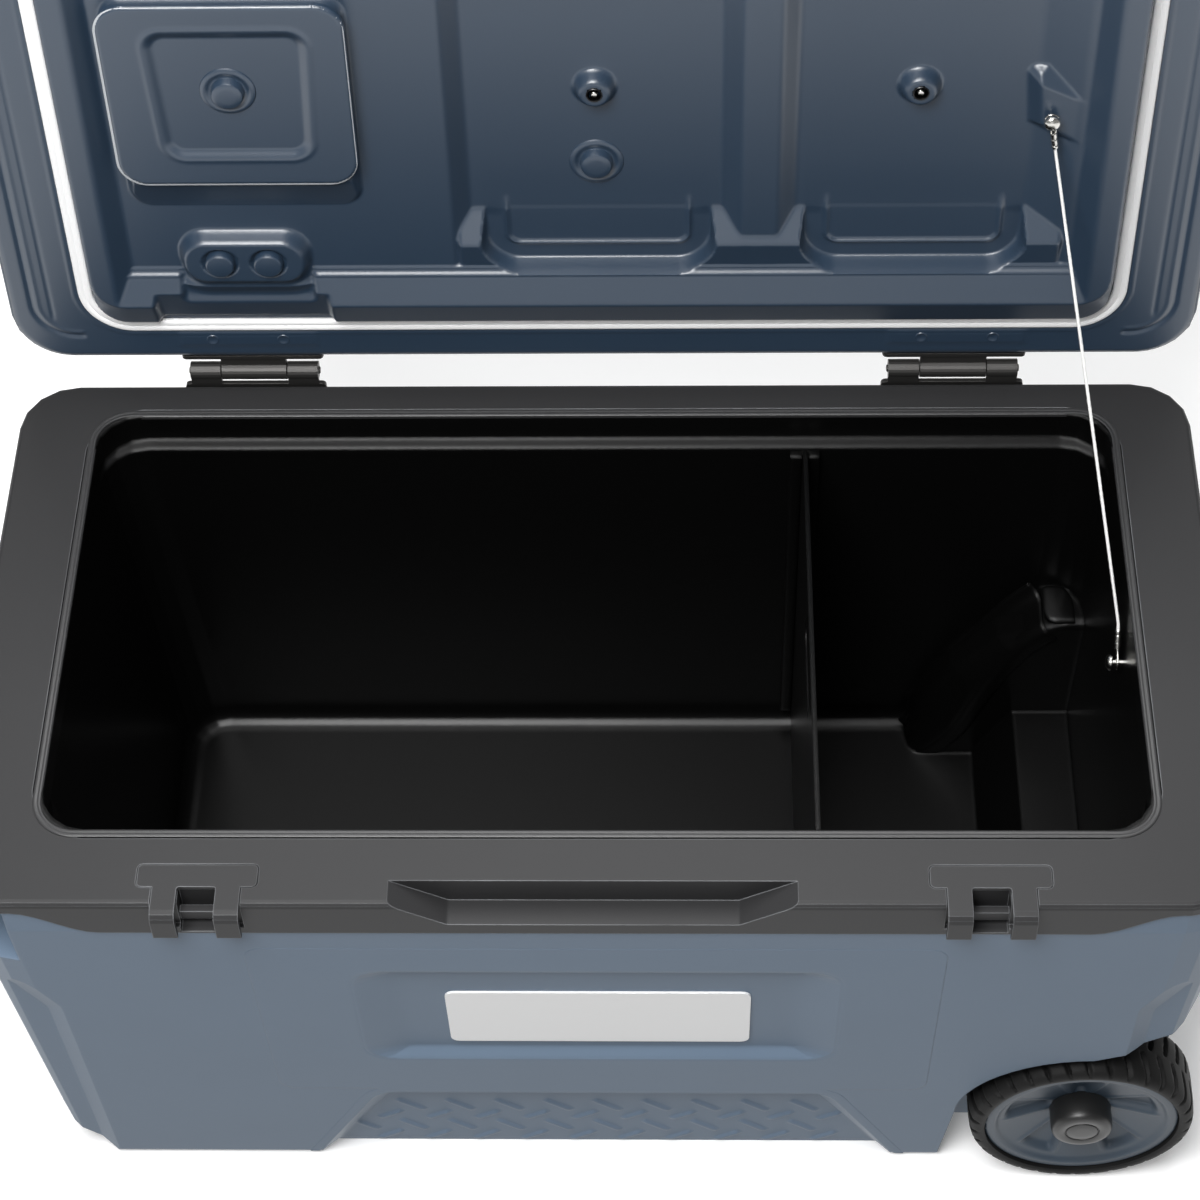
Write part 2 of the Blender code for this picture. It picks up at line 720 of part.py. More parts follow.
def shear_along_z(thing, slope, base_height):
    """Lean a solid along y by a slope that counts from a base height."""
    lean = Matrix.Identity(4)
    lean[1][2] = slope
    lean[1][3] = -slope * base_height
    thing.data.transform(lean)
    return thing


def mirror_y(thing, name):
    """Return a copy of a solid mirrored to the other long side."""
    form = bmesh.new()
    form.from_mesh(thing.data)
    bmesh.ops.transform(form, matrix=Matrix.Diagonal((1, -1, 1, 1)), verts=form.verts)
    return object_from_bmesh(name, form)


# Box shell, as one drafted body that both its outside and its inside follow

def body_half_length(height):
    """Return half the body's length at a height."""
    return HALF_LENGTH - SHELL_STEP - END_SLOPE * max(SEAM_HEIGHT - height, 0)


def body_half_depth(height):
    """Return half the body's depth at a height."""
    return HALF_DEPTH - SHELL_STEP - LONG_SLOPE * max(SEAM_HEIGHT - height, 0)


def body_outline(height, inset):
    """Return the body's outline at a height, drawn in by an inset."""
    share = min(height / SEAM_HEIGHT, 1)
    radius = BASE_CORNER_RADIUS + (CORNER_RADIUS - BASE_CORNER_RADIUS) * share
    across = body_half_length(height) - inset
    deep = body_half_depth(height) - inset
    return rectangle(-across, across, -deep, deep, max(radius - inset, BASE_FILLET))


def body_block(name, inset, top):
    """Return the body's block, drafted up to the seam and upright above it, with a rounded bottom edge."""
    sections = []
    for step in range(FILLET_STEPS + 1):
        angle = math.pi / 2 * step / FILLET_STEPS
        height = inset + BASE_FILLET * (1 - math.cos(angle))
        sections.append((body_outline(height, inset + BASE_FILLET * (1 - math.sin(angle))), height))
    for height in (SEAM_HEIGHT, top):
        sections.append((body_outline(height, inset), height))
    return loft(name, sections)


def seam_points(lift):
    """Return the line between collar and shell, from the left end to the right."""
    inner = HALF_LENGTH - EAR_FOOT_INSET
    outer = HALF_LENGTH - EAR_TOP_INSET
    rise = []
    for step in range(EAR_STEPS + 1):
        share = step / EAR_STEPS
        smooth = share * share * (3 - 2 * share)
        rise.append((inner + (outer - inner) * share, SEAM_HEIGHT + (EAR_HEIGHT - SEAM_HEIGHT) * smooth))
    edge = HALF_LENGTH + OVERRUN
    right = rise + [(edge, EAR_HEIGHT)]
    left = [(-across, height) for across, height in reversed(right)]
    return [(across, height + lift) for across, height in left + right]


def above_seam(name, lift):
    """Return the space above the seam line."""
    ceiling = RIM_HEIGHT + OVERRUN
    edge = HALF_LENGTH + OVERRUN
    outline = seam_points(lift) + [(edge, ceiling), (-edge, ceiling)]
    return slab(name, outline, -HALF_DEPTH - OVERRUN, HALF_DEPTH + OVERRUN, "XZ")


def below_seam(name, lift):
    """Return the space below the seam line, down past the collar's foot."""
    floor = SEAM_HEIGHT - OVERRUN
    edge = HALF_LENGTH + OVERRUN
    outline = [(-edge, floor), (edge, floor)] + list(reversed(seam_points(lift)))
    return slab(name, outline, -HALF_DEPTH - OVERRUN, HALF_DEPTH + OVERRUN, "XZ")


def sunk_panel(name, outer, inner, depth, grow):
    """Return a sloped-sided cutter that sinks a panel into the drafted front face."""
    face = -body_half_depth(SEAM_HEIGHT)
    sections = [
        (outer, -(face - OVERRUN)),
        (outer, -face + GAP),
        (inner, -(face + depth + grow)),
    ]
    cutter = loft(name, sections, "XZ")
    return shear_along_z(cutter, -LONG_SLOPE, SEAM_HEIGHT)


def label_panel(grow):
    """Return the cutter of the sunk panel that carries the plate."""
    half = LABEL_PANEL_HALF_WIDTH + grow
    low = LABEL_PANEL_BOTTOM - grow
    high = LABEL_PANEL_BOTTOM + LABEL_PANEL_HEIGHT + grow
    outer = rectangle(-half, half, low, high, LABEL_PANEL_RADIUS)
    inner = rectangle(
        -half + LABEL_PANEL_END_SLOPE,
        half - LABEL_PANEL_END_SLOPE,
        low + LABEL_PANEL_SLOPE,
        high - LABEL_PANEL_SLOPE,
        LABEL_PANEL_RADIUS / 2,
    )
    return sunk_panel("label_panel_cut", outer, inner, LABEL_PANEL_DEPTH, grow)


def tread_panel(grow):
    """Return the cutter of the sunk tread panel between the front feet."""
    top = TREAD_PANEL_TOP + grow
    run = TREAD_PANEL_BASE_HALF_WIDTH - TREAD_PANEL_TOP_HALF_WIDTH
    low_half = TREAD_PANEL_BASE_HALF_WIDTH + run * OVERRUN / TREAD_PANEL_TOP + grow
    high_half = TREAD_PANEL_TOP_HALF_WIDTH + grow
    foot = -OVERRUN
    rounding = [0, 0, TREAD_PANEL_RADIUS, TREAD_PANEL_RADIUS]
    outer = [(-low_half, foot), (low_half, foot), (high_half, top), (-high_half, top)]
    side = TREAD_PANEL_SLOPE
    inner = [
        (-low_half + side, foot),
        (low_half - side, foot),
        (high_half - side, top - side),
        (-high_half + side, top - side),
    ]
    return sunk_panel(
        "tread_panel_cut",
        rounded_polygon(outer, rounding),
        rounded_polygon(inner, rounding),
        TREAD_PANEL_DEPTH,
        grow,
    )


def corner_flute(side, grow):
    """Return the cutter of a front corner's flute; side is -1 at the left."""
    inner = HALF_LENGTH - FLUTE_INNER_INSET - grow
    outside = HALF_LENGTH + OVERRUN
    top = FLUTE_TOP + grow
    shoulder = top - FLUTE_SHOULDER
    rounding = [0, FLUTE_RADIUS, FLUTE_RADIUS, 0, 0]
    knee = inner + FLUTE_RADIUS
    slope = FLUTE_SLOPE_WIDTH
    outer_line = [(inner, -OVERRUN), (inner, shoulder), (knee, top), (outside, top), (outside, -OVERRUN)]
    inner_line = [
        (inner + slope, -OVERRUN),
        (inner + slope, shoulder - slope),
        (knee + slope, top - slope),
        (outside, top - slope),
        (outside, -OVERRUN),
    ]
    outer = [(side * across, up) for across, up in rounded_polygon(outer_line, rounding)]
    sunk = [(side * across, up) for across, up in rounded_polygon(inner_line, rounding)]
    return sunk_panel("flute_cut", outer, sunk, FLUTE_DEPTH, grow)


def arch_outline(grow):
    """Return the wheel arch as seen from the front, open below and at the end."""
    radius = ARCH_RADIUS + grow
    points = [(WHEEL_X - radius - ARCH_FOOT_FLARE, -OVERRUN)]
    for step in range(ARCH_STEPS + 1):
        angle = math.pi * (1 - step / ARCH_STEPS / 2)
        points.append((WHEEL_X + radius * math.cos(angle), WHEEL_RADIUS + radius * math.sin(angle)))
    points.append((WHEEL_X + ARCH_STEP_OUT, WHEEL_RADIUS + radius + ARCH_STEP_UP))
    points.append((WHEEL_X + ARCH_END_OUT, WHEEL_RADIUS + ARCH_END_UP + grow))
    points.append((WHEEL_X + ARCH_TAIL_OUT - grow, WHEEL_RADIUS + ARCH_TAIL_UP + grow))
    edge = HALF_LENGTH + OVERRUN
    points.append((edge, WHEEL_RADIUS + ARCH_TAIL_UP + ARCH_END_OUT))
    points.append((edge, -OVERRUN))
    return points


def arch_cutter(side, grow):
    """Return the space round one wheel; side is -1 at the front."""
    near = ARCH_WALL_Y - grow
    far = HALF_DEPTH + OVERRUN
    low, high = (near, far) if side > 0 else (-far, -near)
    return slab("arch_cut", arch_outline(grow), low, high, "XZ")


def underside_cutter(grow):
    """Return the step in the underside that the axle crosses."""
    left = WHEEL_X - UNDERSIDE_BEFORE_AXLE - grow
    edge = HALF_LENGTH + OVERRUN
    top = UNDERSIDE_HEIGHT + grow
    outline = [(left - BASE_FILLET, -OVERRUN), (edge, -OVERRUN), (edge, top), (left + BASE_FILLET, top)]
    return slab("underside_cut", outline, -HALF_DEPTH, HALF_DEPTH, "XZ")


def axle_bore(grow):
    """Return the bore that the axle passes through."""
    length = 2 * ARCH_WALL_Y + 2 * OVERRUN
    return cylinder("axle_bore", AXLE_RADIUS + GAP + grow, length, (WHEEL_X, -length / 2, WHEEL_RADIUS), "Y",
                    steps=SMALL_ROUND_STEPS)


def end_chamfer(side, grow):
    """Return the cut that takes the bottom edge off one end."""
    reach = math.hypot(END_CHAMFER_WIDTH, END_CHAMFER_HEIGHT)
    wide = END_CHAMFER_WIDTH + grow * reach / END_CHAMFER_HEIGHT
    tall = END_CHAMFER_HEIGHT + grow * reach / END_CHAMFER_WIDTH
    across = body_half_length(0)
    lean = wide / tall
    outline = [
        (across - wide - lean * OVERRUN, -OVERRUN),
        (across + OVERRUN, -OVERRUN),
        (across + OVERRUN, tall + OVERRUN / lean),
    ]
    return slab("chamfer_cut", [(side * x, z) for x, z in outline], -HALF_DEPTH, HALF_DEPTH, "XZ")


def left_grip(grow):
    """Return the grip slot under the rim, right across the left end."""
    inner = -(HALF_LENGTH - LEFT_GRIP_DEPTH) + grow
    deep = HALF_DEPTH + OVERRUN
    low = (-HALF_LENGTH - OVERRUN, -deep, GRIP_BOTTOM - grow)
    return block("left_grip_cut", low, (inner, deep, RIM_HEIGHT))


def right_grip(grow):
    """Return the grip pocket under the rim of the wheel end."""
    inner = HALF_LENGTH - RIGHT_GRIP_DEPTH - grow
    half = RIGHT_GRIP_HALF_WIDTH + grow
    outline = rectangle(-half, half, GRIP_BOTTOM - grow, RIM_HEIGHT + OVERRUN, RIGHT_GRIP_RADIUS)
    return slab("right_grip_cut", outline, inner, HALF_LENGTH + OVERRUN, "YZ")


def drain_recess(grow):
    """Return the round recess in the left end that guards the drain plug."""
    across = body_half_length(DRAIN_HEIGHT)
    base = (-across + DRAIN_RECESS_DEPTH + grow, 0, DRAIN_HEIGHT)
    return cylinder("drain_recess", DRAIN_RECESS_RADIUS + grow, HALF_LENGTH, base, "-X")


def both_long_sides(body, cutter):
    """Cut a solid by a cutter and by the cutter's mirror image behind."""
    combine(body, mirror_y(cutter, cutter.name + "_rear"))
    combine(body, cutter)


def body_solid(name, inset, top):
    """Return the body with every outside feature, drawn in by an inset."""
    body = body_block(name, inset, top)
    for side in (-1, 1):
        both_long_sides(body, corner_flute(side, inset))
        combine(body, arch_cutter(side, inset))
    combine(body, label_panel(inset))
    combine(body, tread_panel(inset))
    combine(body, end_chamfer(-1, inset))
    combine(body, underside_cutter(inset))
    combine(body, axle_bore(inset))
    combine(body, left_grip(inset))
    combine(body, right_grip(inset))
    combine(body, drain_recess(inset))
    return body


def drain_hole(radius):
    """Return the hole through the left end that the drain spout fills."""
    base = (-HALF_LENGTH, 0, DRAIN_HEIGHT)
    return cylinder("drain_hole", radius, RIM_SIDE_WIDTH * 2, base, "X")


def make_outer_shell():
    """Make the hollow outer shell, open at the top under the collar."""
    shell = body_solid("outer_shell", 0, EAR_HEIGHT)
    combine(shell, body_solid("void", SHELL_WALL, RIM_HEIGHT + OVERRUN))
    combine(shell, above_seam("seam_cut", 0))
    combine(shell, drain_hole(DRAIN_TUBE_RADIUS + GAP))
    return shell


# Liner

def offset_line(points, distance):
    """Move an open line sideways; a positive distance goes to its right hand."""
    moved = []
    for index, point in enumerate(points):
        before = Vector(points[max(index - 1, 0)])
        after = Vector(points[min(index + 1, len(points) - 1)])
        way = (after - before).normalized()
        moved.append((point[0] + way.y * distance, point[1] - way.x * distance))
    return moved


def liner_outline(height, inset):
    """Return the liner's inside outline below the ledge, drawn in by an inset."""
    share = (LEDGE_HEIGHT - height) / (LEDGE_HEIGHT - FLOOR_HEIGHT)
    lip = LIP_WIDTH + inset
    left = -LIP_X + lip + FLOOR_LEFT_INSET * share
    right = LIP_X - lip - FLOOR_RIGHT_INSET * share
    run = FLOOR_LONG_INSET - LEDGE_WIDTH
    front = LIP_FRONT + lip + LEDGE_WIDTH + run * share
    back = LIP_BACK - lip - LEDGE_WIDTH - run * share
    return rectangle(left, right, front, back, FLOOR_RADIUS - inset)


def liner_wall_y(side, height):
    """Return the inside of the liner's long wall at a height; side is -1 at the front."""
    share = (LEDGE_HEIGHT - height) / (LEDGE_HEIGHT - FLOOR_HEIGHT)
    reach = LIP_WIDTH + LEDGE_WIDTH + (FLOOR_LONG_INSET - LEDGE_WIDTH) * share
    return LIP_FRONT + reach if side < 0 else LIP_BACK - reach


def wheel_bump(side, grow):
    """Return the bump over one wheel inside the liner, shrunk by the wall's thickness."""
    foot = FLOOR_HEIGHT - OVERRUN
    line = [
        (WHEEL_X - BUMP_FOOT_BEFORE_AXLE - OVERRUN / 2, foot),
        (WHEEL_X - BUMP_FOOT_BEFORE_AXLE, FLOOR_HEIGHT),
        (WHEEL_X - BUMP_KNEE_BEFORE_AXLE, BUMP_KNEE_HEIGHT),
        (WHEEL_X - BUMP_WAIST_BEFORE_AXLE, BUMP_WAIST_HEIGHT),
        (WHEEL_X - BUMP_SHOULDER_BEFORE_AXLE, BUMP_SHOULDER_HEIGHT),
        (WHEEL_X - BUMP_CREST_BEFORE_AXLE, BUMP_CREST_HEIGHT),
        (WHEEL_X, BUMP_TOP_HEIGHT),
        (HALF_LENGTH, BUMP_TOP_HEIGHT),
    ]
    spread = [(across - run, height) for (across, height), run in zip(line, BUMP_SPREADS)]
    end = [(HALF_LENGTH, foot - grow)]
    narrow = offset_line(line, grow) + end
    wide = offset_line(spread, grow) + end
    near = BUMP_INNER_Y + grow
    sections = [(narrow, -side * near), (wide, -side * (ARCH_WALL_Y - BUMP_EDGE)), (wide, -side * HALF_DEPTH)]
    return bevel(loft("wheel_bump", sections, "XZ"), BUMP_EDGE - min(grow, LINER_WALL), 2)


def axle_riser(grow):
    """Return the step over the axle inside the liner, shrunk by the wall's thickness."""
    line = [
        (WHEEL_X - RISER_FOOT_BEFORE_AXLE - OVERRUN / 2, FLOOR_HEIGHT - OVERRUN),
        (WHEEL_X - RISER_TOP_BEFORE_AXLE, RISER_HEIGHT),
        (HALF_LENGTH, RISER_HEIGHT),
    ]
    outline = offset_line(line, grow) + [(HALF_LENGTH, FLOOR_HEIGHT - OVERRUN - grow)]
    return slab("axle_riser", outline, -HALF_DEPTH, HALF_DEPTH, "XZ")


def liner_cavity(name, grow, top):
    """Return the space inside the liner, grown by a thickness."""
    floor = FLOOR_HEIGHT - grow
    fillet = FLOOR_FILLET + grow
    sections = []
    for step in range(CORNER_STEPS + 1):
        angle = math.pi / 2 * step / CORNER_STEPS
        height = floor + fillet * (1 - math.cos(angle))
        sections.append((liner_outline(height, fillet * (1 - math.sin(angle)) - grow), height))
    ledge = LEDGE_HEIGHT - LEDGE_SLOPE - grow
    sections.append((liner_outline(ledge, -grow), ledge))
    across = LIP_X - LIP_WIDTH + grow
    front = LIP_FRONT + LIP_WIDTH - grow
    back = LIP_BACK - LIP_WIDTH + grow
    upper = rectangle(-across, across, front, back, FLOOR_RADIUS + grow)
    sections.append((upper, LEDGE_HEIGHT - grow))
    sections.append((upper, top))
    cavity = loft(name, sections)
    combine(cavity, axle_riser(grow))
    for side in (-1, 1):
        combine(cavity, wheel_bump(side, grow))
    return cavity


def make_liner():
    """Make the liner with its rolled lip, its wheel bumps and its holes."""
    liner = liner_cavity("inner_liner", LINER_WALL, RIM_HEIGHT - LIP_HEIGHT / 2)
    top = RIM_HEIGHT + LIP_RISE
    outer = rectangle(-LIP_X, LIP_X, LIP_FRONT, LIP_BACK, OPENING_RADIUS + LIP_WIDTH)
    lip = bevel(slab("lip", outer, RIM_HEIGHT - LIP_HEIGHT, top), LIP_WIDTH / 4, 2)
    combine(liner, lip, "UNION")
    combine(liner, liner_cavity("cavity", 0, top + OVERRUN))
    combine(liner, drain_hole(DRAIN_TUBE_RADIUS + GAP))
    combine(liner, screw_pilot(low_anchor(), low_anchor_way()))
    return liner


def make_foam():
    """Make the insulation between shell and liner."""
    foam = body_solid("foam_core", SHELL_WALL + FOAM_GAP, EAR_HEIGHT)
    combine(foam, liner_cavity("foam_cavity", LINER_WALL + 2 * FOAM_GAP, RIM_HEIGHT + OVERRUN))
    combine(foam, above_seam("seam_cut", -LINER_WALL))
    combine(foam, drain_hole(DRAIN_TUBE_RADIUS + GAP))
    side = LIP_X + SEAM_GROOVE
    low = (-side, LIP_FRONT - SEAM_GROOVE, RIM_HEIGHT - LIP_HEIGHT - SEAM_GROOVE)
    combine(foam, block("lip_room", low, (side, LIP_BACK + SEAM_GROOVE, RIM_HEIGHT + OVERRUN)))
    combine(foam, screw_pilot(low_anchor(), low_anchor_way()))
    return foam


# Collar

def keeper_pocket(centre, grow):
    """Return the pocket between a keeper's legs."""
    half = KEEPER_LEG_INNER - GAP + grow
    low = (centre - half, -HALF_DEPTH - OVERRUN, POCKET_BOTTOM - grow)
    return block("pocket", low, (centre + half, -HALF_DEPTH + POCKET_DEPTH + grow, RIM_HEIGHT + OVERRUN))


def finger_notch(grow):
    """Return the notch in the middle of the collar's front."""
    wide = NOTCH_TOP_HALF_WIDTH + grow
    narrow = NOTCH_BOTTOM_HALF_WIDTH + grow
    bottom = RIM_HEIGHT - NOTCH_HEIGHT - grow
    top = RIM_HEIGHT + OVERRUN
    corners = [(-narrow, bottom), (narrow, bottom), (wide, RIM_HEIGHT), (wide, top), (-wide, top), (-wide, RIM_HEIGHT)]
    outline = rounded_polygon(corners, [NOTCH_CORNER, NOTCH_CORNER, 0, 0, 0, 0], FILLET_STEPS)
    near = HALF_DEPTH - NOTCH_DEPTH - grow
    return slab("notch", outline, -HALF_DEPTH - OVERRUN, -near, "XZ")


def collar_channel(side):
    """Return the hollow under one long run of the collar."""
    half = HALF_LENGTH - EAR_TOP_INSET - COLLAR_OUTER_RUN
    ceiling = RIM_HEIGHT - COLLAR_WALL
    if side > 0:
        near = LIP_BACK + SEAM_GROOVE + COLLAR_INNER_WALL
        far = HALF_DEPTH - COLLAR_WALL
        return block("channel", (-half, near, SEAM_HEIGHT - OVERRUN), (half, far, ceiling))
    near = LIP_FRONT - SEAM_GROOVE - COLLAR_INNER_WALL
    far = -HALF_DEPTH + CHANNEL_INSET
    channel = block("channel", (-half, far, SEAM_HEIGHT - OVERRUN), (half, near, ceiling))
    combine(channel, finger_notch(COLLAR_WALL))
    for side in (-1, 1):
        combine(channel, keeper_pocket(side * KEEPER_CENTRE, COLLAR_WALL))
    return channel


def keeper_seat(centre):
    """Return the seat that a keeper lies in, with the slot for its legs."""
    spare = KEEPER_SEAT_CLEARANCE
    floor = RIM_HEIGHT - KEEPER_THICKNESS - GAP
    half = KEEPER_BAR_LENGTH / 2 + spare
    front = -HALF_DEPTH + KEEPER_BAR_INSET - spare
    back = -HALF_DEPTH + KEEPER_BAR_INSET + KEEPER_BAR_WIDTH + spare
    outline = rectangle(centre - half, centre + half, front, back, KEEPER_EDGE_RADIUS + spare, FILLET_STEPS)
    seat = slab("seat", outline, floor, RIM_HEIGHT + OVERRUN)
    leg = KEEPER_LEG_OUTER + spare
    low = (centre - leg, -HALF_DEPTH - OVERRUN, floor)
    combine(seat, block("leg_seat", low, (centre + leg, front + spare + GAP, RIM_HEIGHT + OVERRUN)), "UNION")
    low = (centre - leg, -HALF_DEPTH - OVERRUN, LEG_SLOT_BOTTOM)
    high = (centre + leg, -HALF_DEPTH + LEG_SLOT_DEPTH, RIM_HEIGHT)
    combine(seat, block("leg_slot", low, high), "UNION")
    return seat


def make_collar():
    """Make the ring that caps the shell, with its notch and keeper seats."""
    low = SEAM_HEIGHT - OVERRUN / 2
    outer = rectangle(-HALF_LENGTH, HALF_LENGTH, -HALF_DEPTH, HALF_DEPTH, CORNER_RADIUS)
    sections = [(outer, low)]
    for step in range(FILLET_STEPS + 1):
        angle = math.pi / 2 * step / FILLET_STEPS
        inset = COLLAR_TOP_FILLET * (1 - math.cos(angle))
        height = RIM_HEIGHT - COLLAR_TOP_FILLET * (1 - math.sin(angle))
        across = HALF_LENGTH - inset
        deep = HALF_DEPTH - inset
        sections.append((rectangle(-across, across, -deep, deep, CORNER_RADIUS - inset), height))
    collar = loft("rim_collar", sections)
    side = LIP_X + SEAM_GROOVE
    inner = rectangle(-side, side, LIP_FRONT - SEAM_GROOVE, LIP_BACK + SEAM_GROOVE,
                      OPENING_RADIUS + LIP_WIDTH + SEAM_GROOVE)
    combine(collar, slab("opening", inner, SEAM_HEIGHT - OVERRUN, RIM_HEIGHT + OVERRUN))
    for side in (-1, 1):
        combine(collar, collar_channel(side))
    combine(collar, below_seam("seam_cut", GAP))
    combine(collar, finger_notch(0))
    for side in (-1, 1):
        centre = side * KEEPER_CENTRE
        combine(collar, keeper_seat(centre))
        pocket = keeper_pocket(centre, 0)
        front = -HALF_DEPTH + CATCH_FRONT_INSET + LEG_SLOT_DEPTH
        low = (centre - KEEPER_LEG_OUTER, front, CATCH_BOTTOM)
        combine(pocket, block("catch", low, (centre + KEEPER_LEG_OUTER, front + CATCH_THICKNESS, CATCH_TOP)))
        combine(collar, pocket)
    return collar


def make_keeper(name, centre):
    """Make a keeper: a bar let into the rim with two legs that curl over the front."""
    half = KEEPER_BAR_LENGTH / 2
    front = -HALF_DEPTH + KEEPER_BAR_INSET
    back = front + KEEPER_BAR_WIDTH
    tip = -HALF_DEPTH - KEEPER_LEG_PROUD
    inner = KEEPER_CURL_RADIUS - KEEPER_THICKNESS
    under = RIM_HEIGHT - KEEPER_THICKNESS
    profile = [
        (back, RIM_HEIGHT),
        (tip, RIM_HEIGHT),
        (tip, KEEPER_LEG_BOTTOM),
        (tip + KEEPER_THICKNESS, KEEPER_LEG_BOTTOM),
        (tip + KEEPER_THICKNESS, under),
        (back, under),
    ]
    rounding = [0, KEEPER_CURL_RADIUS, inner / 3, inner / 3, inner, 0]
    outline = rounded_polygon(profile, rounding, FILLET_STEPS)
    keeper = slab(name, outline, centre - half, centre + half, "YZ")
    far = tip - OVERRUN
    bar = rectangle(centre - half, centre + half, front, back, KEEPER_EDGE_RADIUS, FILLET_STEPS)
    plan = slab("plan", bar, LATCH_BOTTOM, RIM_HEIGHT + OVERRUN)
    low = (centre - KEEPER_LEG_OUTER, far, LATCH_BOTTOM - OVERRUN)
    high = (centre + KEEPER_LEG_OUTER, front + KEEPER_EDGE_RADIUS, RIM_HEIGHT + 2 * OVERRUN)
    combine(plan, block("legs", low, high), "UNION")
    combine(keeper, plan, "INTERSECT")
    cut = rectangle(centre - KEEPER_LEG_INNER, centre + KEEPER_LEG_INNER, far, front,
                    KEEPER_EDGE_RADIUS / 2, FILLET_STEPS)
    combine(keeper, slab("leg_cut", cut, LATCH_BOTTOM, RIM_HEIGHT + OVERRUN))
    return keeper


def make_label_plate():
    """Make the bare plate in the front's sunk panel."""
    half = PLATE_LENGTH / 2
    low = PLATE_CENTRE_HEIGHT - PLATE_HEIGHT / 2
    outline = rectangle(-half, half, low, low + PLATE_HEIGHT, PLATE_RADIUS)
    face = body_half_depth(SEAM_HEIGHT) - LABEL_PANEL_DEPTH
    plate = slab("label_plate", outline, -face - GAP - PLATE_THICKNESS, -face - GAP, "XZ")
    return shear_along_z(plate, -LONG_SLOPE, SEAM_HEIGHT)


# Hinges

def make_body_leaf(name, centre):
    """Make the hinge leaf on the back of the collar with its two knuckles."""
    half = HINGE_LEAF_WIDTH / 2
    near = HALF_DEPTH + GAP
    low = RIM_HEIGHT - HINGE_LEAF_HEIGHT
    outline = rectangle(centre - half, centre + half, low, RIM_HEIGHT + GAP, HINGE_LEAF_THICKNESS, FILLET_STEPS)
    leaf = slab(name, outline, near, near + HINGE_LEAF_THICKNESS, "XZ")
    for side in (-1, 1):
        outer = centre + side * HINGE_LENGTH / 2
        inner = outer - side * HINGE_KNUCKLE_LENGTH
        edges = sorted((outer, inner))
        base = (edges[0], HINGE_Y, HINGE_Z)
        combine(leaf, cylinder("knuckle", HINGE_KNUCKLE_RADIUS, HINGE_KNUCKLE_LENGTH, base, "X"), "UNION")
        web_low = (edges[0], near, RIM_HEIGHT - HINGE_LEAF_THICKNESS * 2)
        web_high = (edges[1], near + HINGE_LEAF_THICKNESS, HINGE_Z)
        combine(leaf, block("web", web_low, web_high), "UNION")
    combine(leaf, pin_bore(centre))
    return leaf


def pin_bore(centre):
    """Return the bore through a hinge's knuckles."""
    length = HINGE_LENGTH + 2 * OVERRUN
    base = (centre - length / 2, HINGE_Y, HINGE_Z)
    return cylinder("pin_bore", HINGE_PIN_RADIUS + GAP, length, base, "X", steps=SMALL_ROUND_STEPS)


def make_hinge_pin(name, centre):
    """Make the pin that the two leaves turn on."""
    length = HINGE_LENGTH + 2 * HINGE_PIN_RADIUS / 2
    base = (centre - length / 2, HINGE_Y, HINGE_Z)
    pin = cylinder(name, HINGE_PIN_RADIUS, length, base, "X", steps=SMALL_ROUND_STEPS)
    return bevel(pin, HINGE_PIN_RADIUS / 4, 2)


def make_lid_leaf(name, centre):
    """Make the hinge leaf on the lid's back wall with its middle knuckle."""
    half = HINGE_LENGTH / 2 - HINGE_KNUCKLE_LENGTH - 2 * GAP
    base = (centre - half, HINGE_Y, HINGE_Z)
    leaf = cylinder(name, HINGE_KNUCKLE_RADIUS, 2 * half, base, "X")
    near = LID_BACK + GAP
    thick = HINGE_LEAF_THICKNESS
    wide = HINGE_LEAF_WIDTH / 2
    low = HINGE_Z - thick
    outline = rectangle(centre - wide, centre + wide, low, low + LID_LEAF_HEIGHT, thick, FILLET_STEPS)
    combine(leaf, slab("lid_plate", outline, near, near + thick, "XZ"), "UNION")
    low_corner = (centre - half, near + thick / 2, HINGE_Z - thick / 2)
    high_corner = (centre + half, HINGE_Y, HINGE_Z + thick)
    combine(leaf, block("bridge", low_corner, high_corner), "UNION")
    combine(leaf, pin_bore(centre))
    return leaf


# Lid, in its shut position

def lid_outline(inset):
    """Return the lid's outline, drawn in by an inset."""
    across = HALF_LENGTH - inset
    return rectangle(-across, across, -HALF_DEPTH + inset, LID_BACK - inset, max(CORNER_RADIUS - inset, LID_WALL))


def lid_block(name, inset):
    """Return the lid's body with a drafted skirt and round edges, drawn in by an inset."""
    sections = []
    low = LID_BOTTOM + inset
    high = LID_TOP - inset
    for step in range(FILLET_STEPS + 1):
        angle = math.pi / 2 * step / FILLET_STEPS
        height = low + LID_EDGE_FILLET * (1 - math.cos(angle))
        sections.append((lid_outline(inset + LID_EDGE_FILLET * (1 - math.sin(angle))), height))
    for step in range(CORNER_STEPS + 1):
        angle = math.pi / 2 * step / CORNER_STEPS
        height = high - LID_TOP_FILLET * (1 - math.sin(angle))
        sections.append((lid_outline(inset + LID_DRAFT + LID_TOP_FILLET * (1 - math.cos(angle))), height))
    return loft(name, sections)


def lid_top_panel(grow):
    """Return the cutter of the shallow panel in the lid's top."""
    inset = LID_TOP_PANEL_INSET - grow
    floor = LID_TOP - LID_TOP_PANEL_DEPTH - grow
    sections = [
        (lid_outline(inset + LID_TOP_PANEL_SLOPE), floor),
        (lid_outline(inset), LID_TOP + GAP),
        (lid_outline(inset), LID_TOP + OVERRUN),
    ]
    return loft("top_panel", sections)


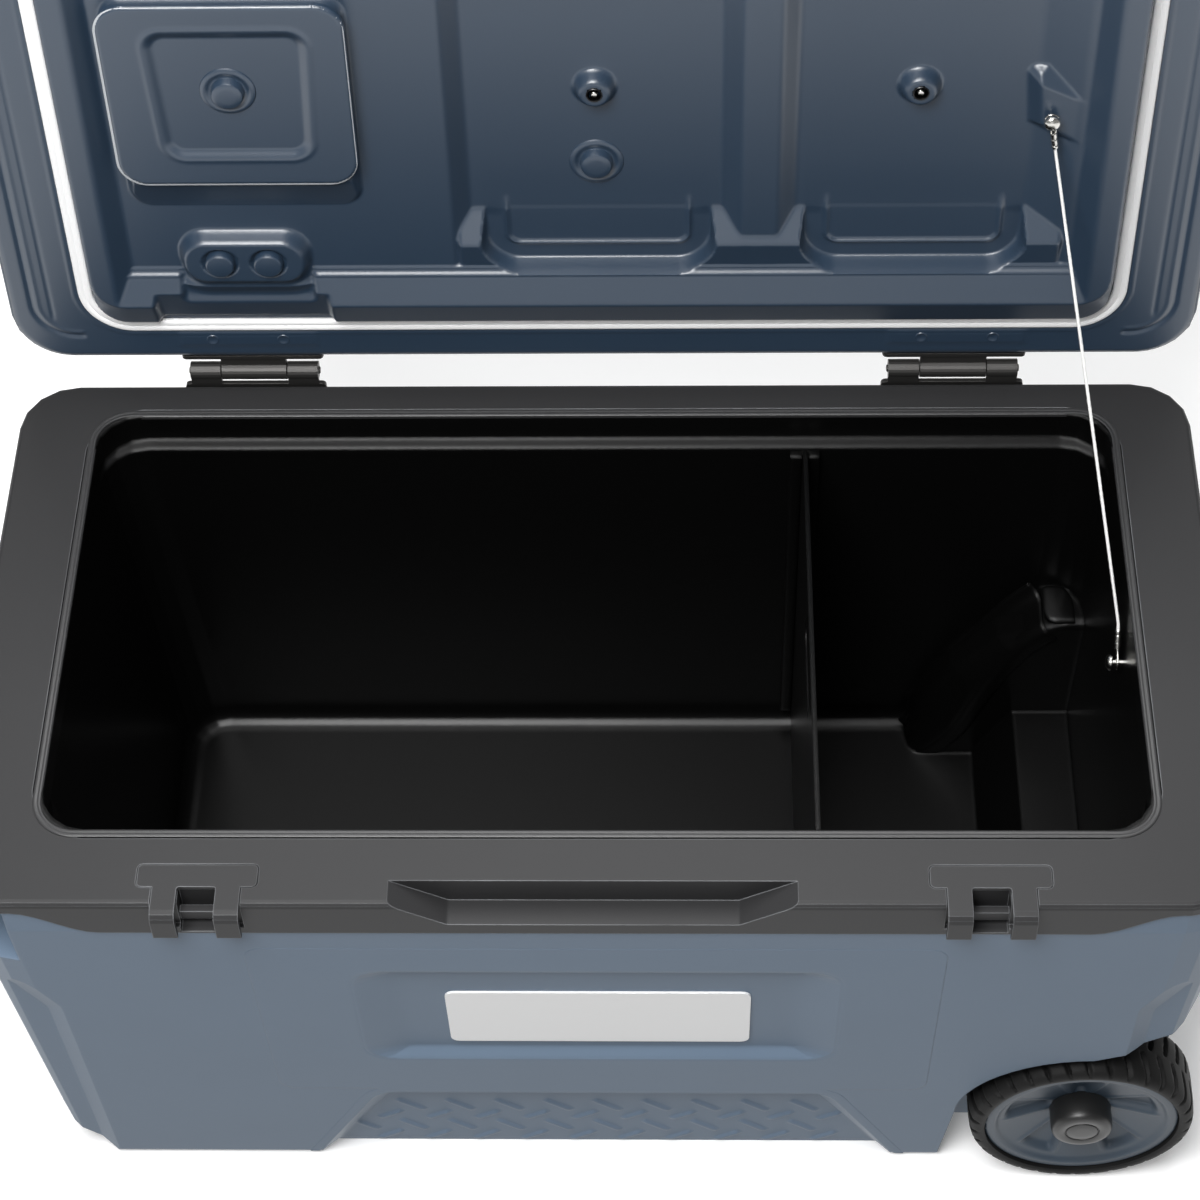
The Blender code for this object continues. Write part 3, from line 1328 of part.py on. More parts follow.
def latch_recess(centre, grow):
    """Return the recess in the lid's front that holds a latch."""
    half = LID_RECESS_WIDTH / 2 + grow
    top = LATCH_PIVOT_HEIGHT + LATCH_ROOM + grow
    low = (centre - half, -HALF_DEPTH - OVERRUN, LID_BOTTOM - OVERRUN)
    return block("latch_recess", low, (centre + half, -HALF_DEPTH + LID_RECESS_DEPTH + grow, top))


def latch_pin_bore(centre, spare):
    """Return the line of a latch's pin, grown by a clearance."""
    half = LID_RECESS_WIDTH / 2 + LID_WALL - GAP
    base = (centre - half, LATCH_Y, LATCH_PIVOT_HEIGHT)
    return cylinder("latch_pin", LATCH_PIN_RADIUS + spare, 2 * half, base, "X", steps=SMALL_ROUND_STEPS)


def lid_solid(name, inset):
    """Return the lid's body with its top panel and latch recesses, drawn in by an inset."""
    lid = lid_block(name, inset)
    combine(lid, lid_top_panel(inset))
    for side in (-1, 1):
        combine(lid, latch_recess(side * KEEPER_CENTRE, inset))
    return lid


def plug_outline(side, back, front):
    """Return the lid liner's outline, drawn in by its own distance on each side."""
    radius = max(GASKET_RADIUS - PLUG_INSET - max(side, 0), FLOOR_FILLET)
    return rectangle(-PLUG_X + side, PLUG_X - side, PLUG_FRONT + front, PLUG_BACK - back, radius)


def make_lid_shell():
    """Make the lid's outer shell with the flange that the gasket lies on."""
    shell = lid_solid("lid_shell", 0)
    combine(shell, lid_solid("lid_void", LID_WALL))
    flange = -LINER_FLANGE - GAP
    opening = plug_outline(flange, flange, flange)
    combine(shell, slab("liner_opening", opening, LID_BOTTOM - OVERRUN, LID_BOTTOM + 2 * LID_WALL))
    for side in (-1, 1):
        combine(shell, latch_pin_bore(side * KEEPER_CENTRE, GAP))
    return shell


def make_lid_foam():
    """Make the insulation inside the lid."""
    foam = lid_solid("lid_foam", LID_WALL + FOAM_GAP)
    combine(foam, block("liner_room", (-HALF_LENGTH, -HALF_DEPTH, LID_BOTTOM - OVERRUN),
                        (HALF_LENGTH, HALF_DEPTH, LINER_TOP + GAP)))
    return foam


def dish_cutter():
    """Return the cutter of the dish inside the lid liner's crest."""
    crest = PLUG_CREST_RUN + PLUG_CREST_WIDTH
    side = PLUG_SIDE_RUN + PLUG_CREST_WIDTH * 2
    sections = [
        (plug_outline(side - OVERRUN / 2, crest - OVERRUN / 2, side - OVERRUN / 2), CREST_Z - OVERRUN / 2),
        (plug_outline(side, crest, side), CREST_Z + GAP),
        (plug_outline(side + DISH_WALL_RUN, crest + DISH_RAMP_RUN, side + DISH_WALL_RUN), DISH_Z),
    ]
    return loft("dish", sections)


def sloped_box(name, x_low, x_high, y_low, y_high, low, high, slope, radius):
    """Return a box whose sides lean in by a slope between its low and high face."""
    sections = [
        (rectangle(x_low, x_high, y_low, y_high, radius), low),
        (rectangle(x_low + slope, x_high - slope, y_low + slope, y_high - slope, radius - slope / 2), high),
    ]
    return loft(name, sections)


def disc_boss(name, centre_x, centre_y, radius, top_radius, low, high):
    """Return a round boss that hangs from a face, narrow end down."""
    return cylinder(name, radius, high - low, (centre_x, centre_y, high), "-Z", top_radius, SMALL_ROUND_STEPS * 2)


def make_lid_liner():
    """Make the lid liner with its crest, dish, wells and bosses."""
    flange = -LINER_FLANGE
    sections = [
        (plug_outline(flange, flange, flange), LINER_TOP),
        (plug_outline(flange, flange, flange), LID_BOTTOM + GAP),
        (plug_outline(0, 0, 0), LID_BOTTOM),
        (plug_outline(PLUG_WALL_RUN / 2, PLUG_WALL_RUN, PLUG_WALL_RUN), LID_BOTTOM - PLUG_WALL_DROP),
        (plug_outline(PLUG_SIDE_RUN, PLUG_CREST_RUN, PLUG_SIDE_RUN), CREST_Z),
    ]
    liner = loft("lid_liner", sections)
    combine(liner, dish_cutter())
    for left_share, right_share in (MID_WELL_SHARES, RIGHT_WELL_SHARES):
        left = HALF_LENGTH * left_share
        right = HALF_LENGTH * right_share
        well = sloped_box("well", left - WELL_SLOPE, right + WELL_SLOPE, WELL_FRONT_Y - WELL_SLOPE,
                          WELL_BACK_Y + WELL_SLOPE, DISH_Z - GAP, WELL_Z, WELL_SLOPE, WELL_RADIUS)
        combine(liner, well)
    notch_left = LONG_BOSS_X - LONG_BOSS_LENGTH / 2 - CREST_NOTCH_SPARE
    notch_right = LONG_BOSS_X + LONG_BOSS_LENGTH / 2 + CREST_NOTCH_SPARE
    notch = sloped_box("crest_notch", notch_left, notch_right, LONG_BOSS_Y, HALF_DEPTH,
                       CREST_Z - OVERRUN, DISH_Z + 2 * GAP, WELL_SLOPE, WELL_RADIUS)
    combine(liner, notch)
    root = DISH_Z + LINER_SHEET / 2
    bracket = sloped_box("bracket", CABLE_TOP_X - BRACKET_LEFT_WIDTH, CABLE_TOP_X + BRACKET_RIGHT_WIDTH,
                         CABLE_TOP_Y - BRACKET_FRONT_WIDTH, CABLE_TOP_Y + BRACKET_BACK_WIDTH,
                         WELL_Z + LINER_SHEET / 2, DISH_Z + GAP, WELL_SLOPE / 3, WELL_SLOPE)
    combine(liner, bracket, "UNION")
    slope = COMPARTMENT_SLOPE
    top = DISH_Z - COMPARTMENT_PROUD
    compartment = sloped_box("compartment", COMPARTMENT_LEFT - slope, COMPARTMENT_RIGHT + slope,
                             COMPARTMENT_FRONT - slope, COMPARTMENT_BACK + slope,
                             root, top, slope, COMPARTMENT_RADIUS + slope / 2)
    combine(liner, compartment, "UNION")
    half_length = LONG_BOSS_LENGTH / 2
    half_width = LONG_BOSS_WIDTH / 2
    slope = LONG_BOSS_SLOPE
    boss = sloped_box("long_boss", LONG_BOSS_X - half_length - slope, LONG_BOSS_X + half_length + slope,
                      LONG_BOSS_Y - half_width - slope, LONG_BOSS_Y + half_width + slope,
                      root, DISH_Z - LONG_BOSS_PROUD, slope, half_width + slope / 2)
    combine(liner, boss, "UNION")
    for side in (-1, 1):
        base = (LONG_BOSS_X + side * LONG_BOSS_PEG_SPACING / 2, LONG_BOSS_Y, DISH_Z - LONG_BOSS_PROUD - OVERRUN)
        combine(liner, cylinder("peg_well", PEG_WELL_RADIUS, OVERRUN + PEG_WELL_DEPTH, base, "Z"))
    for centre in (MID_INSERT_X, RIGHT_INSERT_X):
        low = WELL_Z - INSERT_BOSS_HEIGHT
        boss = disc_boss("insert_boss", centre, INSERT_BOSS_Y, INSERT_BOSS_RADIUS, INSERT_BOSS_TOP_RADIUS,
                         low, WELL_Z + GAP)
        combine(liner, boss, "UNION")
        base = (centre, INSERT_BOSS_Y, low - OVERRUN)
        combine(liner, cylinder("insert_bore", INSERT_RADIUS + GAP, OVERRUN + INSERT_BOSS_HEIGHT, base, "Z"))
    plugs = ((MID_INSERT_X, MID_PLUG_Y, WELL_Z), (PANEL_PLUG_X, PANEL_PLUG_Y, top))
    for across, deep, face in plugs:
        base = (across, deep, face - OVERRUN)
        combine(liner, cylinder("plug_bore", FOAM_PLUG_STEM_RADIUS + GAP, OVERRUN + FOAM_PLUG_STEM + GAP, base, "Z"))
    combine(liner, screw_pilot(top_anchor(), Vector((0, 0, 1))))
    return liner


def make_gasket():
    """Make the white seal round the lid liner."""
    low = LID_BOTTOM - GASKET_THICKNESS
    outer = rectangle(-GASKET_OUTER_X, GASKET_OUTER_X, GASKET_FRONT, GASKET_BACK, GASKET_RADIUS)
    width = GASKET_WIDTH
    inner = rectangle(-GASKET_OUTER_X + width, GASKET_OUTER_X - width, GASKET_FRONT + width,
                      GASKET_BACK - width, GASKET_RADIUS - width)
    gasket = slab("lid_gasket", outer, low, LID_BOTTOM - GAP)
    combine(gasket, slab("gasket_inside", inner, low - OVERRUN, LID_BOTTOM + OVERRUN))
    return bevel(gasket, GASKET_THICKNESS / 4, 1)


def make_compartment_panel():
    """Make the square panel on the lid liner's compartment."""
    top = DISH_Z - COMPARTMENT_PROUD - GAP
    low = top - PANEL_THICKNESS
    outline = rectangle(COMPARTMENT_LEFT, COMPARTMENT_RIGHT, COMPARTMENT_FRONT, COMPARTMENT_BACK, COMPARTMENT_RADIUS)
    panel = bevel(slab("compartment_panel", outline, low, top), PANEL_THICKNESS / 3, 2)
    inset = PANEL_RECESS_INSET
    recess = sloped_box("panel_recess", COMPARTMENT_LEFT + inset, COMPARTMENT_RIGHT - inset,
                        COMPARTMENT_FRONT + inset / 2, COMPARTMENT_BACK - inset,
                        low - GAP, low + PANEL_RECESS_DEPTH, PANEL_RECESS_DEPTH * 2, COMPARTMENT_RADIUS / 2)
    combine(panel, recess)
    base = (PANEL_PLUG_X, PANEL_PLUG_Y, low - OVERRUN)
    combine(panel, cylinder("panel_bore", FOAM_PLUG_STEM_RADIUS + GAP, 2 * OVERRUN, base, "Z"))
    return panel


def make_foam_plug(name, across, deep, face):
    """Make a round plug: a stem in its bore, a flange on the face and a knob."""
    rim = FOAM_PLUG_FLANGE / 3
    knob = FOAM_PLUG_KNOB_RADIUS
    low = -FOAM_PLUG_FLANGE - FOAM_PLUG_KNOB_HEIGHT
    profile = [
        (0, FOAM_PLUG_STEM),
        (FOAM_PLUG_STEM_RADIUS, FOAM_PLUG_STEM),
        (FOAM_PLUG_STEM_RADIUS, -GAP),
        (FOAM_PLUG_RADIUS, -GAP),
        (FOAM_PLUG_RADIUS, -FOAM_PLUG_FLANGE + rim),
        (FOAM_PLUG_RADIUS - rim, -FOAM_PLUG_FLANGE),
        (knob + rim, -FOAM_PLUG_FLANGE),
        (knob, -FOAM_PLUG_FLANGE - rim),
        (knob, low + 2 * rim),
        (knob - 2 * rim, low),
        (0, low),
    ]
    return turned(name, profile, (across, deep, face))


def make_peg(name, across):
    """Make one of the two small plugs in the long boss."""
    face = DISH_Z - LONG_BOSS_PROUD
    edge = PEG_PROUD / 4
    profile = [
        (0, PEG_WELL_DEPTH - GAP),
        (PEG_WELL_RADIUS - GAP, PEG_WELL_DEPTH - GAP),
        (PEG_WELL_RADIUS - GAP, PEG_WELL_DEPTH / 2),
        (PEG_RADIUS, PEG_WELL_DEPTH / 2),
        (PEG_RADIUS, -PEG_PROUD + edge),
        (PEG_RADIUS - edge, -PEG_PROUD),
        (0, -PEG_PROUD),
    ]
    return turned(name, profile, (across, LONG_BOSS_Y, face))


def make_insert(name, across):
    """Make a threaded metal insert in its boss."""
    face = WELL_Z - INSERT_BOSS_HEIGHT
    inner = INSERT_RADIUS - INSERT_WALL
    top = INSERT_BOSS_HEIGHT - GAP
    edge = INSERT_WALL / 4
    profile = [
        (inner, top),
        (INSERT_RADIUS, top),
        (INSERT_RADIUS, -INSERT_PROUD + edge),
        (INSERT_RADIUS - edge, -INSERT_PROUD),
        (inner, -INSERT_PROUD),
    ]
    return turned(name, profile, (across, INSERT_BOSS_Y, face), steps=SMALL_ROUND_STEPS * 2)


# Latches

def make_latch(name, centre):
    """Make a latch: a barrel in the lid, a wide arm and a tongue with a nose."""
    half = LATCH_WIDTH / 2
    base = (centre - half, LATCH_Y, LATCH_PIVOT_HEIGHT)
    latch = cylinder(name, LATCH_BARREL_RADIUS, LATCH_WIDTH, base, "X")
    face = -HALF_DEPTH - LATCH_CLEARANCE
    outside = face - LATCH_THICKNESS * 3 / 4
    shoulder = LID_BOTTOM + LATCH_CLEARANCE
    arm = [
        (LATCH_Y, LATCH_PIVOT_HEIGHT + LATCH_BARREL_RADIUS - GAP),
        (outside + LATCH_THICKNESS / 4, LATCH_PIVOT_HEIGHT + LATCH_BARREL_RADIUS / 2),
        (outside, LATCH_PIVOT_HEIGHT - LATCH_BARREL_RADIUS),
        (outside, shoulder),
        (face + LATCH_THICKNESS / 4, shoulder),
        (LATCH_Y, LATCH_PIVOT_HEIGHT - LATCH_BARREL_RADIUS + GAP),
    ]
    rounding = [0, LATCH_THICKNESS / 4, LATCH_THICKNESS / 2, LATCH_THICKNESS / 8, LATCH_THICKNESS / 8, 0]
    combine(latch, slab("arm", rounded_polygon(arm, rounding, FILLET_STEPS), centre - half, centre + half, "YZ"),
            "UNION")
    tip = -HALF_DEPTH + LATCH_NOSE_TIP_INSET
    nose_low = LATCH_NOSE_TOP - LATCH_NOSE_THICKNESS
    tongue = [
        (outside + GAP, shoulder + LATCH_THICKNESS),
        (outside + GAP, LATCH_BOTTOM + LATCH_TAB_LENGTH),
        (outside - LATCH_TAB_LENGTH / 2, LATCH_BOTTOM),
        (face - LATCH_TAB_LENGTH / 2, LATCH_BOTTOM),
        (face, nose_low),
        (tip, nose_low),
        (tip, LATCH_NOSE_TOP),
        (face, LATCH_NOSE_TOP),
        (face, shoulder + LATCH_THICKNESS),
    ]
    half = KEEPER_LEG_INNER - 2 * LATCH_CLEARANCE
    combine(latch, slab("tongue", tongue, centre - half, centre + half, "YZ"), "UNION")
    combine(latch, latch_pin_bore(centre, GAP))
    return latch


def make_latch_pin(name, centre):
    """Make the pin that a latch turns on."""
    pin = latch_pin_bore(centre, 0)
    pin.name = name
    return pin


# Wheels

def make_axle():
    """Make the axle that both wheels turn on."""
    half = WHEEL_FACE + AXLE_END_PROUD - HUB_DISH_DEPTH / 2
    axle = cylinder("axle", AXLE_RADIUS, 2 * half, (WHEEL_X, -half, WHEEL_RADIUS), "Y", steps=SMALL_ROUND_STEPS * 2)
    return bevel(axle, AXLE_RADIUS / 6, 1)


def hub_profile():
    """Return the hub's half section as radius and distance from the wheel's inner face."""
    outer = TYRE_WIDTH - HUB_FACE_INSET
    dish = outer - HUB_DISH_DEPTH
    rim = HUB_RADIUS - HUB_RIM_WIDTH
    boss = HUB_BOSS_RADIUS
    bore = AXLE_RADIUS + GAP
    back = HUB_FACE_INSET
    edge = HUB_WALL / 4
    return [
        (bore, dish + HUB_DISH_DEPTH / 4),
        (boss, dish + HUB_DISH_DEPTH / 4),
        (boss + edge, dish),
        (rim - HUB_DISH_DEPTH / 2, dish + edge),
        (rim, outer - edge),
        (rim + edge, outer),
        (HUB_RADIUS - edge, outer),
        (HUB_RADIUS, outer - edge),
        (HUB_RADIUS, back),
        (HUB_RADIUS - HUB_WALL, back),
        (HUB_RADIUS - HUB_WALL, dish - HUB_WALL),
        (boss - HUB_WALL, dish - HUB_WALL),
        (boss - HUB_WALL, back),
        (bore, back),
    ]


def make_hub(name, side):
    """Make a wheel's hub with its dished face and ribs."""
    direction = "Y" if side > 0 else "-Y"
    base = (WHEEL_X, side * (WHEEL_FACE - TYRE_WIDTH), WHEEL_RADIUS)
    hub = turned(name, hub_profile(), base, direction, WHEEL_STEPS)
    outer = TYRE_WIDTH - HUB_FACE_INSET
    floor = outer - HUB_DISH_DEPTH
    reach = HUB_RADIUS - HUB_RIM_WIDTH + HUB_WALL / 2
    turn = Matrix.Translation(base) @ along(direction)
    for index in range(HUB_RIB_COUNT):
        inner = HUB_BOSS_RADIUS - HUB_WALL / 2
        rib_line = [
            (inner, floor - HUB_WALL / 2),
            (reach, floor - HUB_WALL / 2),
            (reach, outer - HUB_WALL / 2),
            (inner, floor + HUB_WALL / 2),
        ]
        rib = slab("rib", rib_line, -HUB_RIB_WIDTH / 2, HUB_RIB_WIDTH / 2, "XZ")
        spin = Matrix.Rotation(2 * math.pi * (index + 1 / 2) / HUB_RIB_COUNT, 4, "Z")
        rib.data.transform(turn @ spin)
        combine(hub, rib, "UNION")
    return hub


def make_tyre(name, side):
    """Make a wheel's tyre with lugs across its tread."""
    direction = "Y" if side > 0 else "-Y"
    base = (WHEEL_X, side * (WHEEL_FACE - TYRE_WIDTH), WHEEL_RADIUS)
    root = WHEEL_RADIUS - TREAD_DEPTH
    inner = HUB_RADIUS + GAP
    edge = TREAD_DEPTH / 2
    profile = [
        (inner, edge),
        (inner + edge, 0),
        (root - edge, 0),
        (root, edge),
        (root, TYRE_WIDTH - edge),
        (root - edge, TYRE_WIDTH),
        (inner + edge, TYRE_WIDTH),
        (inner, TYRE_WIDTH - edge),
    ]
    tyre = turned(name, profile, base, direction, WHEEL_STEPS)
    form = bmesh.new()
    band = TYRE_WIDTH * TREAD_BAND_SHARE
    pitch = 2 * math.pi / TREAD_COUNT
    spans = (
        (edge, TYRE_WIDTH / 2 - band / 2, 0),
        (TYRE_WIDTH / 2 + band / 2, TYRE_WIDTH - edge, pitch / 2),
    )
    for index in range(TREAD_COUNT):
        for low, high, shift in spans:
            add_lug(form, index * pitch + shift, pitch * (1 - TREAD_GAP_SHARE), low, high)
    place = Matrix.Translation(base) @ along(direction)
    bmesh.ops.transform(form, matrix=place, verts=form.verts)
    combine(tyre, object_from_bmesh("lugs", form), "UNION")
    return tyre


def add_lug(form, angle, sweep, low, high):
    """Add one tread lug to a mesh, as a wedge across part of the tread."""
    inner = WHEEL_RADIUS - TREAD_DEPTH * 2
    outer = WHEEL_RADIUS
    corners = []
    for height in (low, high):
        for radius, share in ((inner, -1 / 2), (outer, -1 / 3), (outer, 1 / 3), (inner, 1 / 2)):
            turn = angle + sweep * share
            corners.append(form.verts.new((radius * math.cos(turn), radius * math.sin(turn), height)))
    lower = corners[:4]
    upper = corners[4:]
    form.faces.new(lower)
    form.faces.new(upper)
    for index in range(4):
        following = (index + 1) % 4
        form.faces.new((lower[index], lower[following], upper[following], upper[index]))


def make_hub_cap(name, side):
    """Make the cap that covers the axle's end."""
    direction = "Y" if side > 0 else "-Y"
    floor = TYRE_WIDTH - HUB_FACE_INSET - HUB_DISH_DEPTH * 3 / 4
    top = TYRE_WIDTH + CAP_PROUD - floor
    edge = CAP_WALL / 2
    hollow = AXLE_RADIUS + CAP_WALL
    profile = [
        (0, top),
        (CAP_RING_RADIUS, top),
        (CAP_RING_RADIUS, top - CAP_RING_DEPTH),
        (CAP_RING_RADIUS + CAP_RING_DEPTH, top - CAP_RING_DEPTH),
        (CAP_RING_RADIUS + CAP_RING_DEPTH, top),
        (CAP_RADIUS - 2 * edge, top),
        (CAP_RADIUS - edge / 2, top - edge),
        (CAP_RADIUS, top - 3 * edge),
        (CAP_RADIUS, CAP_FOOT),
        (HUB_BOSS_RADIUS - edge, CAP_FOOT),
        (HUB_BOSS_RADIUS - edge, GAP),
        (hollow, GAP),
        (hollow, top - CAP_WALL),
        (0, top - CAP_WALL),
    ]
    base = (WHEEL_X, side * (WHEEL_FACE - TYRE_WIDTH + floor), WHEEL_RADIUS)
    return turned(name, profile, base, direction)


# Divider board and guides

def guide_slope(side):
    """Return how far a long wall leans outward per metre of height."""
    rise = liner_wall_y(side, LEDGE_HEIGHT) - liner_wall_y(side, FLOOR_HEIGHT)
    return rise / (LEDGE_HEIGHT - FLOOR_HEIGHT)


def make_guide(name, side):
    """Make one upright guide with the slot that the divider board slides in."""
    half = GUIDE_WIDTH / 2
    wall = liner_wall_y(side, FLOOR_HEIGHT)
    near = wall - side * GAP
    far = near - side * GUIDE_DEPTH
    edges = sorted((near, far))
    outline = rectangle(DIVIDER_X - half, DIVIDER_X + half, edges[0], edges[1], GUIDE_EDGE, 2)
    guide = slab(name, outline, GUIDE_BASE, GUIDE_TOP)
    slot_half = DIVIDER_THICKNESS / 2 + GUIDE_SLOT_CLEARANCE
    slot = sorted((far - side * OVERRUN, far + side * GUIDE_SLOT_DEPTH))
    low = (DIVIDER_X - slot_half, slot[0], GUIDE_BASE - OVERRUN)
    combine(guide, block("slot", low, (DIVIDER_X + slot_half, slot[1], GUIDE_TOP + OVERRUN)))
    return shear_along_z(guide, guide_slope(side), FLOOR_HEIGHT)


def make_divider():
    """Make the lift-out divider board with its finger slot."""
    base = FLOOR_HEIGHT + DIVIDER_BASE_CLEARANCE
    reach = GUIDE_DEPTH - GUIDE_SLOT_DEPTH + GUIDE_SLOT_CLEARANCE * 2 + GAP
    corners = []
    for side, height in ((-1, base), (1, base), (1, DIVIDER_TOP), (-1, DIVIDER_TOP)):
        corners.append((liner_wall_y(side, height) - side * reach, height))
    rounding = [FLOOR_FILLET, FLOOR_FILLET, DIVIDER_CORNER, DIVIDER_CORNER]
    half = DIVIDER_THICKNESS / 2
    board = slab("divider_board", rounded_polygon(corners, rounding), DIVIDER_X - half, DIVIDER_X + half, "YZ")
    middle = (corners[0][0] + corners[1][0]) / 2
    top = DIVIDER_TOP - DIVIDER_SLOT_DOWN
    slot = rectangle(middle - DIVIDER_SLOT_LENGTH / 2, middle + DIVIDER_SLOT_LENGTH / 2,
                     top - DIVIDER_SLOT_HEIGHT, top, DIVIDER_SLOT_HEIGHT / 2 - GAP)
    combine(board, slab("finger_slot", slot, DIVIDER_X - OVERRUN, DIVIDER_X + OVERRUN, "YZ"))
    return board


# Drain

def drain_face():
    """Return where the floor of the drain's recess lies along x."""
    return -body_half_length(DRAIN_HEIGHT) + DRAIN_RECESS_DEPTH


def make_drain_spout():
    """Make the drain tube with its outside flange."""
    face = drain_face()
    inside = -LIP_X + LIP_WIDTH + FLOOR_LEFT_INSET * (LEDGE_HEIGHT - DRAIN_HEIGHT) / (LEDGE_HEIGHT - FLOOR_HEIGHT)
    length = inside - face - GAP
    edge = DRAIN_FLANGE_THICKNESS / 4
    flange = DRAIN_SEAL_THICKNESS + GAP
    profile = [
        (DRAIN_BORE_RADIUS, -flange - DRAIN_FLANGE_THICKNESS),
        (DRAIN_FLANGE_RADIUS - edge, -flange - DRAIN_FLANGE_THICKNESS),
        (DRAIN_FLANGE_RADIUS, -flange - DRAIN_FLANGE_THICKNESS + edge),
        (DRAIN_FLANGE_RADIUS, -flange),
        (DRAIN_TUBE_RADIUS, -flange),
        (DRAIN_TUBE_RADIUS, length),
        (DRAIN_BORE_RADIUS, length),
    ]
    return turned("drain_spout", profile, (face - GAP, 0, DRAIN_HEIGHT), "X")


def make_drain_seal():
    """Make the flat ring between the spout's flange and the shell."""
    profile = [
        (DRAIN_TUBE_RADIUS + GAP, 0),
        (DRAIN_FLANGE_RADIUS - GAP, 0),
        (DRAIN_FLANGE_RADIUS - GAP, -DRAIN_SEAL_THICKNESS),
        (DRAIN_TUBE_RADIUS + GAP, -DRAIN_SEAL_THICKNESS),
    ]
    return turned("drain_seal", profile, (drain_face() - GAP, 0, DRAIN_HEIGHT), "X")


def make_drain_plug():
    """Make the plug that screws into the spout."""
    face = drain_face() - 2 * GAP - DRAIN_SEAL_THICKNESS - DRAIN_FLANGE_THICKNESS
    edge = DRAIN_PLUG_HEAD_LENGTH / 6
    stem = DRAIN_BORE_RADIUS - GAP
    profile = [
        (0, DRAIN_PLUG_STEM),
        (stem - edge, DRAIN_PLUG_STEM),
        (stem, DRAIN_PLUG_STEM - edge),
        (stem, -GAP),
        (DRAIN_PLUG_HEAD_RADIUS, -GAP),
        (DRAIN_PLUG_HEAD_RADIUS, -DRAIN_PLUG_HEAD_LENGTH / 2),
        (DRAIN_PLUG_HEAD_RADIUS - edge, -DRAIN_PLUG_HEAD_LENGTH / 2 - edge),
        (0, -DRAIN_PLUG_HEAD_LENGTH / 2 - edge),
    ]
    plug = turned("drain_plug", profile, (face - GAP, 0, DRAIN_HEIGHT), "X")
    half = DRAIN_PLUG_HEAD_RADIUS - 2 * edge
    low = (face - DRAIN_PLUG_HEAD_LENGTH, -half, DRAIN_HEIGHT - DRAIN_PLUG_GRIP_WIDTH / 2)
    high = (face - DRAIN_PLUG_HEAD_LENGTH / 3, half, DRAIN_HEIGHT + DRAIN_PLUG_GRIP_WIDTH / 2)
    combine(plug, bevel(block("grip", low, high), edge, 2), "UNION")
    return plug


# Stay cable

def lid_turn():
    """Return the turn that opens the lid about its hinge axis."""
    pivot = Vector((0, HINGE_Y, HINGE_Z))
    spin = Matrix.Rotation(-LID_OPEN, 4, "X")
    return Matrix.Translation(pivot) @ spin @ Matrix.Translation(-pivot)


def low_anchor():
    """Return where the cable's lower screw meets the liner's right wall."""
    share = (LEDGE_HEIGHT - CABLE_LOW_HEIGHT) / (LEDGE_HEIGHT - FLOOR_HEIGHT)
    return Vector((LIP_X - LIP_WIDTH - FLOOR_RIGHT_INSET * share, CABLE_LOW_Y, CABLE_LOW_HEIGHT))


def low_anchor_way():
    """Return the direction in which the lower screw is driven."""
    return Vector((1, 0, 0))


def top_anchor():
    """Return where the upper screw meets the bracket, with the lid shut."""
    return Vector((CABLE_TOP_X, CABLE_TOP_Y, DISH_Z + GAP))


def screw_pilot(point, way):
    """Return the hole that a cable screw is driven into."""
    base = point - way * OVERRUN / 2
    return cylinder("pilot", SCREW_SHANK_RADIUS + GAP, OVERRUN / 2 + SCREW_DEPTH, base, way, steps=SMALL_ROUND_STEPS)


def make_cable_screw(name, point, way, standoff):
    """Make a cable screw whose head holds the eye off the wall."""
    gap = standoff * 2
    edge = SCREW_HEAD_HEIGHT / 3
    profile = [
        (0, SCREW_DEPTH - GAP),
        (SCREW_SHANK_RADIUS, SCREW_DEPTH - GAP),
        (SCREW_SHANK_RADIUS, -gap),
        (SCREW_HEAD_RADIUS, -gap),
        (SCREW_HEAD_RADIUS, -gap - edge),
        (SCREW_HEAD_RADIUS - 2 * edge, -gap - SCREW_HEAD_HEIGHT),
        (0, -gap - SCREW_HEAD_HEIGHT),
    ]
    return turned(name, profile, point, way, SMALL_ROUND_STEPS)


def cable_ends():
    """Return the centres of the cable's two eyes with the lid open."""
    low = low_anchor() - low_anchor_way() * CABLE_LOW_STANDOFF
    top = lid_turn() @ (top_anchor() - Vector((0, 0, 1)) * CABLE_TOP_STANDOFF)
    return low, top


def eye_ring(name, centre, way):
    """Return the ring of an eye whose hole faces a direction."""
    profile = []
    for step in range(EYE_STEPS):
        angle = 2 * math.pi * step / EYE_STEPS
        profile.append((EYE_RADIUS + EYE_WIRE * math.cos(angle), EYE_WIRE * math.sin(angle)))
    return turned(name, profile, centre, way, SMALL_ROUND_STEPS)


def eye_ways():
    """Return the direction in which the cable leaves each eye, in the eye's own plane."""
    low, top = cable_ends()
    way = (top - low).normalized()
    ways = []
    for axis in (low_anchor_way(), lid_turn().to_3x3() @ Vector((0, 0, 1))):
        ways.append((way - axis * way.dot(axis)).normalized())
    return ways


def cable_line():
    """Return the points of the cable, straight but for a short bend past each sleeve."""
    low, top = cable_ends()
    low_way, top_way = eye_ways()
    reach = EYE_RADIUS + EYE_WIRE + FERRULE_LENGTH + CABLE_BEND_REACH
    first = low + low_way * reach
    last = top - top_way * reach
    way = (last - first).normalized()
    points = [low + low_way * EYE_RADIUS]
    points += bend(first, -low_way, way)
    inner = points[-1]
    after = bend(last, -way, top_way)
    points += [inner.lerp(after[0], index / CABLE_POINTS) for index in range(1, CABLE_POINTS)]
    points += after
    points.append(top - top_way * EYE_RADIUS)
    return points


